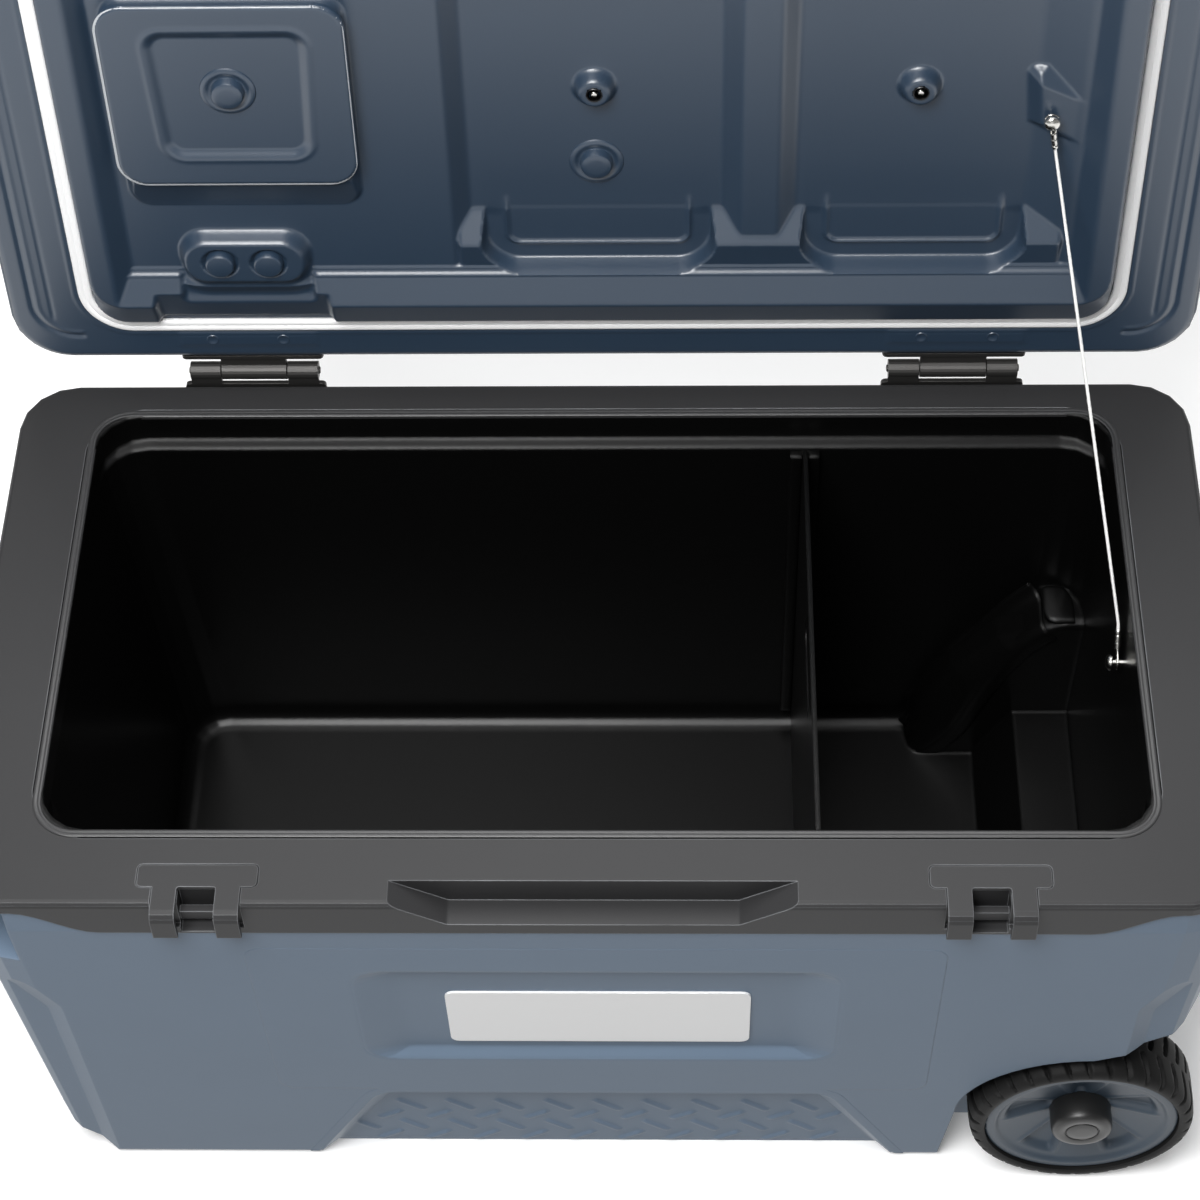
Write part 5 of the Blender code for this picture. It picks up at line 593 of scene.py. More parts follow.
@dataclass
class Relief:
    """A moulded face made from a level for each point of a grid, with walls and a back."""

    name: str
    along: Array
    up: Array
    back: float
    closed_back: bool = False

    def level(self, x: Array, s: Array) -> Array:
        """Return how proud the face is at each point."""
        raise NotImplementedError

    def inside(self, x: Array, s: Array) -> Array:
        """Return the distance into the face's outline at each point."""
        raise NotImplementedError

    def place(self, x: Array, s: Array, out: Array) -> Array:
        """Turn the face's own coordinates into places in the row frame."""
        return Lid.place(x, s, out)

    def snap(self, x: Array, s: Array, step: float) -> tuple[Array, Array]:
        """Draw the points next to the outline onto it, so that the edge runs smooth.

        Args:
            x: Places across, in millimetres.
            s: Places up, in millimetres.
            step: Points nearer to the outline than this are drawn onto it.

        Returns:
            The moved places across and up.
        """
        tiny = 0.01
        for _ in range(2):
            far = self.inside(x, s)
            slope_x = (self.inside(x + tiny, s) - far) / tiny
            slope_s = (self.inside(x, s + tiny) - far) / tiny
            near = np.abs(far) < step
            x = np.where(near, x - far * slope_x, x)
            s = np.where(near, s - far * slope_s, s)
        return x, s

    def build(self) -> bpy.types.Object:
        """Build the face as one closed piece.

        Returns:
            The new object.
        """
        x, s = np.meshgrid(self.along, self.up)
        step = 0.75 * max(np.diff(self.along).max(), np.diff(self.up).max())
        x, s = self.snap(x, s, step)
        good = self.inside(x, s) > -0.02
        cells = good[:-1, :-1] & good[1:, :-1] & good[:-1, 1:] & good[1:, 1:]
        number = np.arange(x.size).reshape(x.shape)
        quads = np.stack([number[:-1, :-1], number[:-1, 1:], number[1:, 1:], number[1:, :-1]], axis=-1)[cells]
        used = np.unique(quads)
        table = np.full(x.size, -1)
        table[used] = np.arange(used.size)
        quads = table[quads]
        flat_x, flat_s = x.ravel()[used], s.ravel()[used]
        front = self.place(flat_x, flat_s, self.level(flat_x, flat_s))
        edges = np.concatenate([quads[:, [0, 1]], quads[:, [1, 2]], quads[:, [2, 3]], quads[:, [3, 0]]])
        code = edges[:, 0].astype(np.int64) * used.size + edges[:, 1]
        twin = edges[:, 1].astype(np.int64) * used.size + edges[:, 0]
        rim = edges[~np.isin(code, twin)]
        if self.closed_back:
            points, faces = self.capped(front, quads, rim, flat_x, flat_s)
        else:
            behind = self.place(flat_x, flat_s, np.full(flat_x.shape, self.back))
            points = np.concatenate([front, behind])
            shift = used.size
            walls = np.stack([rim[:, 1], rim[:, 0], rim[:, 0] + shift, rim[:, 1] + shift], axis=-1)
            faces = np.concatenate([quads, quads[:, ::-1] + shift, walls]).tolist()
        return solid(self.name, points, faces, sharp_degrees=70, flat_caps=True)

    def capped(self, front: Array, quads: Array, rim: Array, x: Array,
               s: Array) -> tuple[Array, list]:
        """Close the face with walls and one flat cap.

        Args:
            front: The face's points.
            quads: Its cells.
            rim: Its border's edges, each as a pair of points.
            x: First coordinates of the points.
            s: Second coordinates of the points.

        Returns:
            All the points and all the faces.
        """
        following = dict(rim.tolist())
        start = int(rim[0, 0])
        loop = [start]
        while following[loop[-1]] != start:
            loop.append(following[loop[-1]])
        behind = self.place(x[loop], s[loop], np.full(len(loop), self.back))
        shift = len(front)
        faces = quads.tolist()
        count = len(loop)
        for index, point in enumerate(loop):
            after = loop[(index + 1) % count]
            faces.append([after, point, shift + index, shift + (index + 1) % count])
        faces.append([shift + index for index in range(count)][::-1])
        return np.concatenate([front, behind]), faces


@dataclass
class LinerFace(Relief):
    """The lid liner: its chamfer, crest, dish, wells, horned rail and bosses.

    An outline is a box of low x, high x, low s and high s, with its corner radius. A section is a list
    of places with the level at each. All are in millimetres.
    """

    floor: float = 12.0
    well: float = 2.0
    crest: float = 22.5
    flange: float = 4.0

    FLANGE = (-337.7, 337.7, 46.5, 364.4), 29.7
    SKIRT_FOOT = (-331.5, 331.5, 52.7, 358.2), 23.5
    SKIRT_TOP = (-328, 328, 78, 354.5), 20
    PEDESTAL = (-293.5, -147.5, 157, 316.5), 14
    LONG_BOSS = (-264.5, -188.5, 99.5, 131), 14
    BOSS_VALLEY = (-272, -182, 66, 135), 18
    POCKETS = ((-75, 75, 98.3, 420), 25), ((128, 272, 98.3, 420), 25)
    BRACKET = [(266.5, 212.5), (306, 187), (309, 236), (275, 265), (262.5, 256)]
    BRACKET_RIDGE = [(240, 180), (320, 180), (320, 223), (240, 262)]

    RAIL_SECTION = [(60, 12), (103.5, 12), (122.5, 15), (146, 0.9), (170, -14)]
    WELL_SECTION = [(-92, 12), (-80.5, 2), (79, 2), (90.5, 12), (114, 12), (125, 2), (270, 2), (297, 12)]
    POCKET_SECTION = [(-2, 24), (0, 15.6), (3.4, 0.8), (15.5, 1.6), (18, 2), (60, 2)]
    STRIP_SECTION = [(78, 22.5), (96.8, 15.4), (103.6, 11.8), (110, 4), (122, -10)]
    LEFT_WALL = [(-313, 22.5), (-301, 12), (-287, -2)]
    RIGHT_WALL = [(287, -2), (301, 12), (313, 22.5)]
    FRONT_WALL = [(320, 0), (331, 12), (343, 22.5)]
    SKIRT_SECTION = [(-1, 4), (0, 4), (0.13, 13.2), (1, 22.5), (2, 22.5)]
    NOTCH_SECTION = [(50, 4), (57, 4), (59, 9.5), (86, 19.3), (95, 24)]
    VALLEY_SECTION = [(60, 19.7), (72, 16.7), (82, 14.2), (97, 12), (140, 12)]
    INSERT_SECTION = [(0, 11), (9.4, 11), (13.2, 2), (16, -6)]

    def inside(self, x: Array, s: Array) -> Array:
        """Return the distance into the liner's flange."""
        return rounded_distance(x, s, *self.FLANGE)

    def rail(self, x: Array, s: Array) -> Array:
        """Return the level of the rail under the wells: it climbs to a ridge and falls back to the dish.

        Args:
            x: Places across, in millimetres.
            s: Places up, in millimetres.

        Returns:
            The level at each place.
        """
        ridge = soft_line(s, self.RAIL_SECTION, 1.2)
        fade = ease((x + 95) / 8) * ease((300 - x) / 8)
        return self.floor + (ridge - self.floor) * fade - 8 * (1 - fade)

    def dish(self, x: Array, s: Array) -> Array:
        """Return the level of the dish with its two long wells, before the rail."""
        wells = soft_line(x, self.WELL_SECTION, 1.8)
        return self.floor + (wells - self.floor) * ease((330 - s) / 10)

    def pockets(self, x: Array, s: Array, level: Array) -> Array:
        """Cut two round-cornered pockets through the rail, each with a trough and a bead inside its wall.

        Args:
            x: Places across, in millimetres.
            s: Places up, in millimetres.
            level: The level before the cut.

        Returns:
            The level after the cut.
        """
        for box, radius in self.POCKETS:
            into = rounded_distance(x, s, box, radius)
            cut = soft_line(into, self.POCKET_SECTION, 0.7)
            cut = cut + (np.maximum(cut, self.well) - cut) * ease((s - 136) / 12)
            bead = 1.9 * swell(into, 17.0, 1.4) * ease((156 - s) / 16)
            sunk = np.where(into > -1.5, soft_min(level, cut, 0.8), level)
            level = level + (sunk - level) * ease((182 - s) / 34) + bead
        return level

    def border(self, x: Array, s: Array) -> Array:
        """Return the level of the strip, the slope and the dish's walls, up to the crest.

        Args:
            x: Places across, in millimetres.
            s: Places up, in millimetres.

        Returns:
            The level at each place.
        """
        back = soft_line(s, self.STRIP_SECTION, 0.6) + 0.9 * swell(s, 98.6, 1.2) + 0.9 * swell(s, 103, 1.1)
        sides = soft_max(soft_line(x, self.LEFT_WALL, 1.8), soft_line(x, self.RIGHT_WALL, 1.8), 2)
        return soft_max(back, soft_max(sides, soft_line(s, self.FRONT_WALL, 2.0), 2), 1.2)

    def skirt(self, x: Array, s: Array) -> Array:
        """Return the level of the chamfer that climbs from the gasket to the crest.

        Args:
            x: Places across, in millimetres.
            s: Places up, in millimetres.

        Returns:
            The level at each place.
        """
        into = rounded_distance(x, s, *self.SKIRT_FOOT)
        short = -rounded_distance(x, s, *self.SKIRT_TOP)
        share = np.clip(into / np.maximum(into + short, 1e-6), 0, 1)
        climb = soft_line(share, self.SKIRT_SECTION, 0.035)
        return np.where(into <= 0, self.flange, np.where(short <= 0, self.crest, climb))

    def notch(self, x: Array, s: Array, level: Array) -> Array:
        """Sink the chamfer in front of the long boss, with a shallow valley at the boss's foot.

        Args:
            x: Places across, in millimetres.
            s: Places up, in millimetres.
            level: The level before the cut.

        Returns:
            The level after the cut.
        """
        mask = ease((x + 291) / 5) * ease((-173 - x) / 5)
        sunk = soft_min(level, soft_line(s, self.NOTCH_SECTION, 0.8), 0.8)
        level = level + (sunk - level) * mask
        foot = rounded_distance(x, s, *self.BOSS_VALLEY)
        dug = soft_min(level, soft_line(s, self.VALLEY_SECTION, 1.5), 1.0)
        return level + (dug - level) * ease(foot / 5)

    def long_boss(self, x: Array, s: Array) -> Array:
        """Return the level of the long boss, steep above and gently raked below, with its two peg wells.

        Args:
            x: Places across, in millimetres.
            s: Places up, in millimetres.

        Returns:
            The level at each place.
        """
        into = rounded_distance(x, s, *self.LONG_BOSS)
        rake = np.interp(s, [92, 108], [0.5, 2.2])
        top = soft_min(22 + into * rake, 22.0, 1.6)
        for centre in PEGS_ALONG:
            far = np.hypot(x - centre, s - PEGS_UP)
            top = top - 2.9 * ease((11.6 - far) / 1.2)
        return top

    def pedestal(self, x: Array, s: Array) -> Array:
        """Return the level of the pedestal under the square panel.

        Args:
            x: Places across, in millimetres.
            s: Places up, in millimetres.

        Returns:
            The level at each place.
        """
        into = rounded_distance(x, s, *self.PEDESTAL)
        under = self.floor + (s - 157) * 0.35
        return soft_min(soft_min(self.floor + into * 2.2, under, 2.0), 20.0, 1.0)

    def insert_boss(self, far: Array) -> Array:
        """Return the level of a round boss with a hole for its metal insert, at distances from its axis."""
        return np.where(far < 4.4, 4.0, soft_line(far, self.INSERT_SECTION, 0.8))

    def bracket(self, x: Array, s: Array) -> Array:
        """Return the level of the wedge that the stay cable's upper screw goes into.

        Args:
            x: Places across, in millimetres.
            s: Places up, in millimetres.

        Returns:
            The level at each place.
        """
        wedge = soft_min(self.well + polygon_distance(x, s, self.BRACKET) * 1.3, CABLE_TOP[2], 1.5)
        ridge = polygon_distance(x, s, self.BRACKET_RIDGE)
        return wedge - np.clip(-ridge, 0, 9) * 0.75

    def level(self, x: Array, s: Array) -> Array:
        """Return how proud the whole liner is at each point.

        Args:
            x: Places across, in millimetres.
            s: Places up, in millimetres.

        Returns:
            The level at each place.
        """
        skirt = self.skirt(x, s)
        found = soft_max(self.dish(x, s), self.rail(x, s), 1.2)
        found = soft_max(found, self.border(x, s), 1.0)
        found = self.pockets(x, s, found)
        found = soft_min(found, self.crest, 1.0)
        found = soft_max(found, self.pedestal(x, s), 2.2)
        found = np.minimum(found, skirt + 0.15)
        found = self.notch(x, s, found)
        found = soft_max(found, self.long_boss(x, s), 2.0)
        found = soft_max(found, self.bracket(x, s), 0.8)
        for centre in INSERTS_ALONG:
            far = np.hypot(x - centre, s - INSERTS_UP)
            boss = self.insert_boss(far)
            found = np.where(far < 9, boss, soft_max(found, boss, 1.6))
        return np.where(skirt <= self.flange, self.flange, np.maximum(found, 0.2))


@dataclass
class PanelFace(Relief):
    """The square panel: round edges and a sunk field with soft walls."""

    OUTLINE = (-295.4, -146.4, 182.6, 318.4), 18
    FIELD_LEFT, FIELD_RIGHT, FIELD_LOW, FIELD_TOP = -268.5, -169.5, 204, 300

    def inside(self, x: Array, s: Array) -> Array:
        """Return the distance into the panel's outline."""
        return rounded_distance(x, s, *self.OUTLINE)

    def level(self, x: Array, s: Array) -> Array:
        """Return how proud the panel is at each point.

        Args:
            x: Places across, in millimetres.
            s: Places up, in millimetres.

        Returns:
            The level at each place.
        """
        edge = self.inside(x, s)
        round_edge = 24.6 - 1.6 * (1 - np.sqrt(np.clip(1 - (1 - np.clip(edge / 2.2, 0, 1)) ** 2, 0, 1)))
        lean = (self.FIELD_TOP - s) * 0.045
        box = (self.FIELD_LEFT + lean, self.FIELD_RIGHT - lean, self.FIELD_LOW, self.FIELD_TOP)
        field = rounded_distance(x, s, box, 13)
        sunk = 2.4 * ease(field / 6.0)
        return round_edge - sunk + 0.5 * swell(field, -1.5, 1.8)


@dataclass
class RimSkin(Relief):
    """The lid's border outside the gasket: grooves, fine lines and the two hinge pads."""

    flush: float = 4.05
    proud: float = 5.4

    HOOK = (-373.5, 373.5, 37.5, 399), 27
    LATCH_ALONG, LATCH_HALF, LATCH_UP = 235.5, 33.5, (399.5, 440)
    PAD_ALONG, PAD_HALF, PAD_UP = 234.5, 47, (26, 40.5)

    def inside(self, x: Array, s: Array) -> Array:
        """Return the distance into the border.

        Args:
            x: Places across, in millimetres.
            s: Places up, in millimetres.

        Returns:
            The distance at each place, positive inside.
        """
        outer = rounded_distance(x, s, BORDER_BOX, BORDER_RADIUS)
        inner = rounded_distance(x, s, GASKET_BOX, GASKET_RADIUS)
        found = np.minimum(outer, -inner)
        for side in (-1, 1):
            middle = side * self.LATCH_ALONG
            box = (middle - self.LATCH_HALF, middle + self.LATCH_HALF, *self.LATCH_UP)
            recess = rounded_distance(x, s, box, 1.5)
            found = np.minimum(found, -recess)
        return found

    def level(self, x: Array, s: Array) -> Array:
        """Return how proud the border is at each point.

        Args:
            x: Places across, in millimetres.
            s: Places up, in millimetres.

        Returns:
            The level at each place.
        """
        outer = rounded_distance(x, s, BORDER_BOX, BORDER_RADIUS)
        face = self.flush + (self.proud - self.flush) * ease(outer / 3)
        wide = np.abs(x)
        hook = rounded_distance(x, s, *self.HOOK)
        reach = ease((wide - 341.5) / 3)
        there = reach * ease((395 - s) / 4)
        fine = swell(wide, 361.5, 0.9) * ease((s - 50) / 6)
        lip = swell(rounded_distance(x, s, GASKET_BOX, GASKET_RADIUS), -2.4, 0.9)
        face = face - 1.2 * swell(hook, -0.4, 1.5) * there + 0.45 * swell(hook, 3.2, 1.3) * there
        face = face - 0.6 * fine + 0.5 * lip
        for side in (-1, 1):
            middle = side * self.PAD_ALONG
            pad = rounded_distance(x, s, (middle - self.PAD_HALF, middle + self.PAD_HALF, *self.PAD_UP), 3)
            face = face + 0.7 * ease(pad / 1.2) - 0.5 * swell(pad, 1.8, 0.8)
        return face


@dataclass
class FrontFace(Relief):
    """The front of the shell: the sunk name panel and the sunk tread panel with its herringbone bars."""

    pitch: float = 33.4
    bar_height: float = 1.6
    bar_half: float = 2.6
    depth: float = 204
    height: float = 344.5
    draft: float = 28
    tread_half: float = 200
    tread_lean: float = 50
    tread_top: float = 106

    UPPER = (-214, 214, 112, 322), 12
    LABEL = (-152, 152, 160.5, 289.5), 18
    # Start and end of a row's first bar, then the row's first and last count
    BAR_ROWS = ((-140.5, 70.3, -122.7, 53.0, 0, 9), (-155.6, 38.9, -138.6, 51.2, 0, 10),
                (-140.9, 35.6, -123.3, 18.6, -1, 9), (-158.7, 3.0, -141.0, 16.6, 0, 10))

    def place(self, x: Array, s: Array, out: Array) -> Array:
        """Turn across, up and proud of the drafted front face into places in the row frame."""
        deep = self.depth - self.draft / self.height * (self.height - s) + out
        return np.stack([x, -deep, s], axis=-1) * MM

    def tread_cut(self, x: Array, s: Array) -> Array:
        """Return the distance into the tread panel, open at the ground.

        Args:
            x: Places across, in millimetres.
            s: Places up, in millimetres.

        Returns:
            The distance at each place, positive inside.
        """
        slant = math.hypot(self.tread_lean, self.tread_top)
        left = ((x + self.tread_half) * self.tread_top - s * self.tread_lean) / slant
        right = ((self.tread_half - x) * self.tread_top - s * self.tread_lean) / slant
        return soft_min(soft_min(left, right, 6), self.tread_top - s, 14)

    def inside(self, x: Array, s: Array) -> Array:
        """Return the distance into the part of the front that this face covers.

        Args:
            x: Places across, in millimetres.
            s: Places up, in millimetres.

        Returns:
            The distance at each place, positive inside.
        """
        upper = rounded_distance(x, s, *self.UPPER)
        lower = np.minimum(self.tread_cut(x, s) + 7, s - 3.6)
        return np.maximum(upper, np.minimum(lower, 130 - s))

    def bars(self, x: Array, s: Array) -> Array:
        """Return the height of the herringbone bars: rows that lean to either side in turn.

        Args:
            x: Places across, in millimetres.
            s: Places up, in millimetres.

        Returns:
            The height at each place.
        """
        found = np.zeros_like(x)
        for start_x, start_s, end_x, end_s, first, last in self.BAR_ROWS:
            length = math.hypot(end_x - start_x, end_s - start_s)
            way_x, way_s = (end_x - start_x) / length, (end_s - start_s) / length
            for index in range(first, last):
                from_x = x - start_x - index * self.pitch
                from_s = s - start_s
                run = from_x * way_x + from_s * way_s
                aside = np.abs(from_x * way_s - from_s * way_x)
                taper = np.clip(np.minimum(run, length - run) / 4.0, 0, 1)
                crown = np.clip(1 - (aside / self.bar_half) ** 2, 0, 1) ** 0.7
                found = np.maximum(found, self.bar_height * np.sqrt(taper) * crown)
        return found

    def level(self, x: Array, s: Array) -> Array:
        """Return how proud the front is at each point, below nought where it is sunk.

        Args:
            x: Places across, in millimetres.
            s: Places up, in millimetres.

        Returns:
            The level at each place.
        """
        edge = self.inside(x, s)
        label = rounded_distance(x, s, *self.LABEL)
        ends = (self.LABEL[0][1] - np.abs(x)) * 6 / 28
        sunk = soft_min(soft_min(label * 0.72, ends, 1.2), 6.0, 1.2)
        sunk = soft_max(sunk, 0.0, 1.4)
        cut = self.tread_cut(x, s)
        tread = soft_max(soft_min(cut * 11 / 12, 11.0, 2.0), 0.0, 2.0)
        floor = ease((cut - 12.5) / 2.0)
        return 0.04 + 0.14 * ease(edge / 40) - sunk - tread + self.bars(x, s) * floor


@dataclass
class HubFace(Relief):
    """The face of a wheel's hub: a round rim, a dish and broad spokes between sunk pockets."""

    side: int = -1
    spokes: int = 5

    RIM_SECTION = [(0, -13), (20, -13), (55, -3.0), (57.5, 0), (63, 0), (64, -1), (70, -1)]

    def place(self, x: Array, s: Array, out: Array) -> Array:
        """Turn across, up and proud of the wheel's face into places in the row frame."""
        return np.stack([WHEEL_X - self.side * x, self.side * (HUB_PLANE + out), WHEEL_Z + s], axis=-1) * MM

    def inside(self, x: Array, s: Array) -> Array:
        """Return the distance into the hub's round outline."""
        return 64.0 - np.hypot(x, s)

    def level(self, x: Array, s: Array) -> Array:
        """Return how proud the hub is at each point.

        Args:
            x: Places across, in millimetres.
            s: Places up, in millimetres.

        Returns:
            The level at each place.
        """
        far = np.hypot(x, s)
        rim = soft_line(far, self.RIM_SECTION, 0.9)
        turn = np.degrees(np.arctan2(s, x)) + 86
        pitch = 360 / self.spokes
        off = np.abs((turn + pitch / 2) % pitch - pitch / 2)
        aside = (off - 20) * math.pi / 180 * far
        pocket = ease(aside / 5) * ease((52 - far) / 5) * ease((far - 17) / 6)
        crease = 0.9 * swell(aside, -1.0, 1.4) * ease((54 - far) / 6) * ease((far - 19) / 5)
        return rim - 4.5 * pocket + crease


@dataclass
class Tyre:
    """A wheel's solid rubber tyre, with a rounded shoulder and staggered lugs."""

    side: int
    lugs: int = 34
    steps_per_lug: int = 18
    inner: float = 64.6
    face: float = 193.0
    width: float = 45.0

    def profile(self) -> Array:
        """Return the tyre's section as rows of depth behind the face, radius and share of groove.

        Returns:
            The section, as an array.
        """
        half = self.width / 2
        line = [(1.2, self.inner, 0), (0.2, 66, 0), (0, 68.5, 0.1), (0.7, 70.6, 0.6), (2.2, 72.6, 1),
                (4.4, 73.8, 1), (7.5, 74.5, 1), (12, 74.9, 1), (17, 75, 1), (20, 75, 0.9),
                (21.5, 75, 0.1), (half, 75, 0)]
        back = [(self.width - deep, far, cut) for deep, far, cut in line[-2::-1]]
        return np.array(line + back + [(half, self.inner, 0)], float)

    def build(self) -> bpy.types.Object:
        """Build the tyre as one closed ring.

        Returns:
            The new object.
        """
        rows = self.profile()
        count = self.lugs * self.steps_per_lug
        theta = np.arange(count) / count * 2 * math.pi
        deep = rows[:, 0][:, None]
        shift = np.where(deep > self.width / 2, 0.5, 0.0) + np.abs(deep - self.width / 2) * 0.018
        phase = (theta[None, :] * self.lugs / (2 * math.pi) + shift) % 1
        wave = np.abs(phase - 0.5)
        groove = ease((wave - 0.36) / 0.08)
        short = np.where((theta[None, :] * self.lugs / (2 * math.pi) + shift) % 2 > 1, 1.0, 0.72)
        radius = rows[:, 1][:, None] - 2.6 * groove * rows[:, 2][:, None] * short
        x = WHEEL_X + radius * np.cos(theta)[None, :]
        z = WHEEL_Z + radius * np.sin(theta)[None, :]
        y = self.side * (self.face - deep + 0 * theta[None, :])
        points = np.stack([x, y, z], axis=-1).reshape(-1, 3) * MM
        name = "tyre_front_tread" if self.side < 0 else "tyre_rear_tread"
        return solid(name, points, cells(len(rows), count), sharp_degrees=40)


class WheelDetail:
    """Both wheels' visible rubber, hubs and caps."""

    # A drum with a round rim, a ring groove and a slightly domed middle
    CAP_SECTION = ((0, -17), (19.2, -17), (20.4, -15), (20.6, -3), (20.2, 0.6), (19.2, 2.6), (17.6, 3.7),
                   (15.5, 4.0), (12.4, 3.8), (11.7, 3.5), (11.3, 2.6), (10.7, 2.6), (10.3, 3.5), (9.6, 3.8),
                   (5, 4.1), (0, 4.2))

    def build(self) -> None:
        """Build each wheel's tyre, cap and hub face and let them ride on their wheel."""
        places = np.linspace(-64.6, 64.6, 150)
        for side, body, end in ((-1, Body.WHEEL_FRONT, "front"), (1, Body.WHEEL_REAR, "rear")):
            middle = (WHEEL_X * MM, side * CAP_PLANE * MM, WHEEL_Z * MM)
            seat(Tyre(side).build(), TYRE_BLACK, body, f"wheel_tyre_{end}")
            cap = spun(f"hub_{end}_cap", self.CAP_SECTION, facing(middle, (0, side, 0)))
            seat(cap, BLACK_PLASTIC, body, f"wheel_cap_{end}")
            hub = HubFace(f"hub_{end}_face", places, places, back=-39.0, closed_back=True, side=side)
            seat(hub.build(), HUB_BLUE, body, f"wheel_hub_{end}")


@dataclass
class LidDetail:
    """The lid's moulded inner face, its square panel and its border."""

    grid: float = 1.25
    fine: float = 0.8

    def steps(self, low: float, high: float, grid: float) -> Array:
        """Return evenly spaced places from low to high, in millimetres."""
        return np.linspace(low, high, int(round((high - low) / grid)) + 1)

    def build(self) -> None:
        """Build the relief pieces and let them ride on the lid."""
        rows = np.concatenate([self.steps(46, 76, self.grid)[:-1], self.steps(76, 130, self.fine)[:-1],
                               self.steps(130, 365, self.grid)])
        liner = LinerFace("lid_liner_face", self.steps(-338.2, 338.2, self.grid), rows, back=-1.0,
                          closed_back=True)
        seat(liner.build(), LID_BLUE, Body.LID, "lid_liner")
        panel = PanelFace("compartment_panel_face", self.steps(-296, -146, 1.0), self.steps(182, 319, 1.0),
                          back=20.3, closed_back=True)
        seat(panel.build(), LID_BLUE, Body.LID, "compartment_panel")
        skin = RimSkin("lid_border_skin", self.steps(-389, 389, 1.3), self.steps(17.4, 414.6, 1.3),
                       back=3.9)
        seat(skin.build(), LID_BLUE, Body.LID)


def tube(name: str, points: Array, radius: float, across: Vector, steps: int = 10) -> bpy.types.Object:
    """Sweep a round wire along a closed flat loop.

    Args:
        name: The object's name.
        points: Rows of x, y and z in metres, going round the loop once.
        radius: The wire's radius in millimetres.
        across: The direction square to the loop's plane.
        steps: How many steps the wire's section has.

    Returns:
        The new object.
    """
    count = len(points)
    rows = []
    for index in range(count):
        way = Vector(points[(index + 1) % count] - points[index - 1]).normalized()
        side = way.cross(across).normalized()
        for step in range(steps):
            angle = 2 * math.pi * step / steps
            shift = (side * math.cos(angle) + across * math.sin(angle)) * radius * MM
            rows.append(tuple(Vector(points[index]) + shift))
    return solid(name, np.array(rows), cells(count, steps), sharp_degrees=60)


@dataclass
class CableEnd:
    """One end of the stay cable: a domed screw, a wire loop round it and a crimped sleeve."""

    name: str
    base: Vector
    out: Vector
    way: Vector
    standoff: float
    body: Body

    LOOP_RADIUS, LOOP_WIRE, LOOP_OPEN = 4.0, 0.85, 62
    # A tube crimped in two places
    SLEEVE_SECTION = ((0, 9.5), (1.9, 9.5), (2.3, 10.1), (2.3, 13), (1.85, 13.7), (1.85, 14.3), (2.3, 15),
                      (2.3, 18), (1.85, 18.6), (1.85, 19.2), (2.3, 19.8), (2.3, 21.2), (1.9, 21.7),
                      (0, 21.7))

    def build(self) -> None:
        """Build the three pieces in place of the plainer CAD ones."""
        gap = self.standoff * 2
        head = [(0, -1), (2.1, -1), (2.1, gap - 0.6), (5.0, gap - 0.6), (5.3, gap), (5.1, gap + 1.2),
                (4.2, gap + 2.3), (2.9, gap + 3.0), (1.4, gap + 3.35), (0, gap + 3.4)]
        upright_screw = facing(tuple(self.base), tuple(self.out))
        screw = spun(f"cable_{self.name}_screw_dome", head, upright_screw, steps=40, sharp_degrees=40)
        seat(screw, STEEL, self.body, f"cable_screw_{self.name}")
        centre = self.base + self.out * self.standoff * MM
        side = self.way.cross(self.out).normalized()
        loop = []
        for step in range(25):
            angle = math.radians(self.LOOP_OPEN + (360 - 2 * self.LOOP_OPEN) * step / 24)
            spoke = self.way * math.cos(angle) + side * math.sin(angle)
            loop.append(centre + spoke * self.LOOP_RADIUS * MM)
        legs = ((5.5, -2.0), (8.5, -1.15), (11, -1.0), (14, -1.0))
        for along, aside in legs + tuple((along, -aside) for along, aside in legs[::-1]):
            loop.append(centre + (self.way * along + side * aside) * MM)
        rounded = np.array([tuple(point) for point in loop])
        for _ in range(2):
            rounded = 0.25 * np.roll(rounded, 1, 0) + 0.5 * rounded + 0.25 * np.roll(rounded, -1, 0)
        seat(tube(f"cable_{self.name}_loop", rounded, self.LOOP_WIRE, self.out), STEEL, self.body)
        along_wire = facing(tuple(centre), tuple(self.way))
        sleeve = spun(f"cable_{self.name}_sleeve", self.SLEEVE_SECTION, along_wire, steps=28,
                      sharp_degrees=30)
        seat(sleeve, STEEL, self.body, f"cable_ferrule_{self.name}")


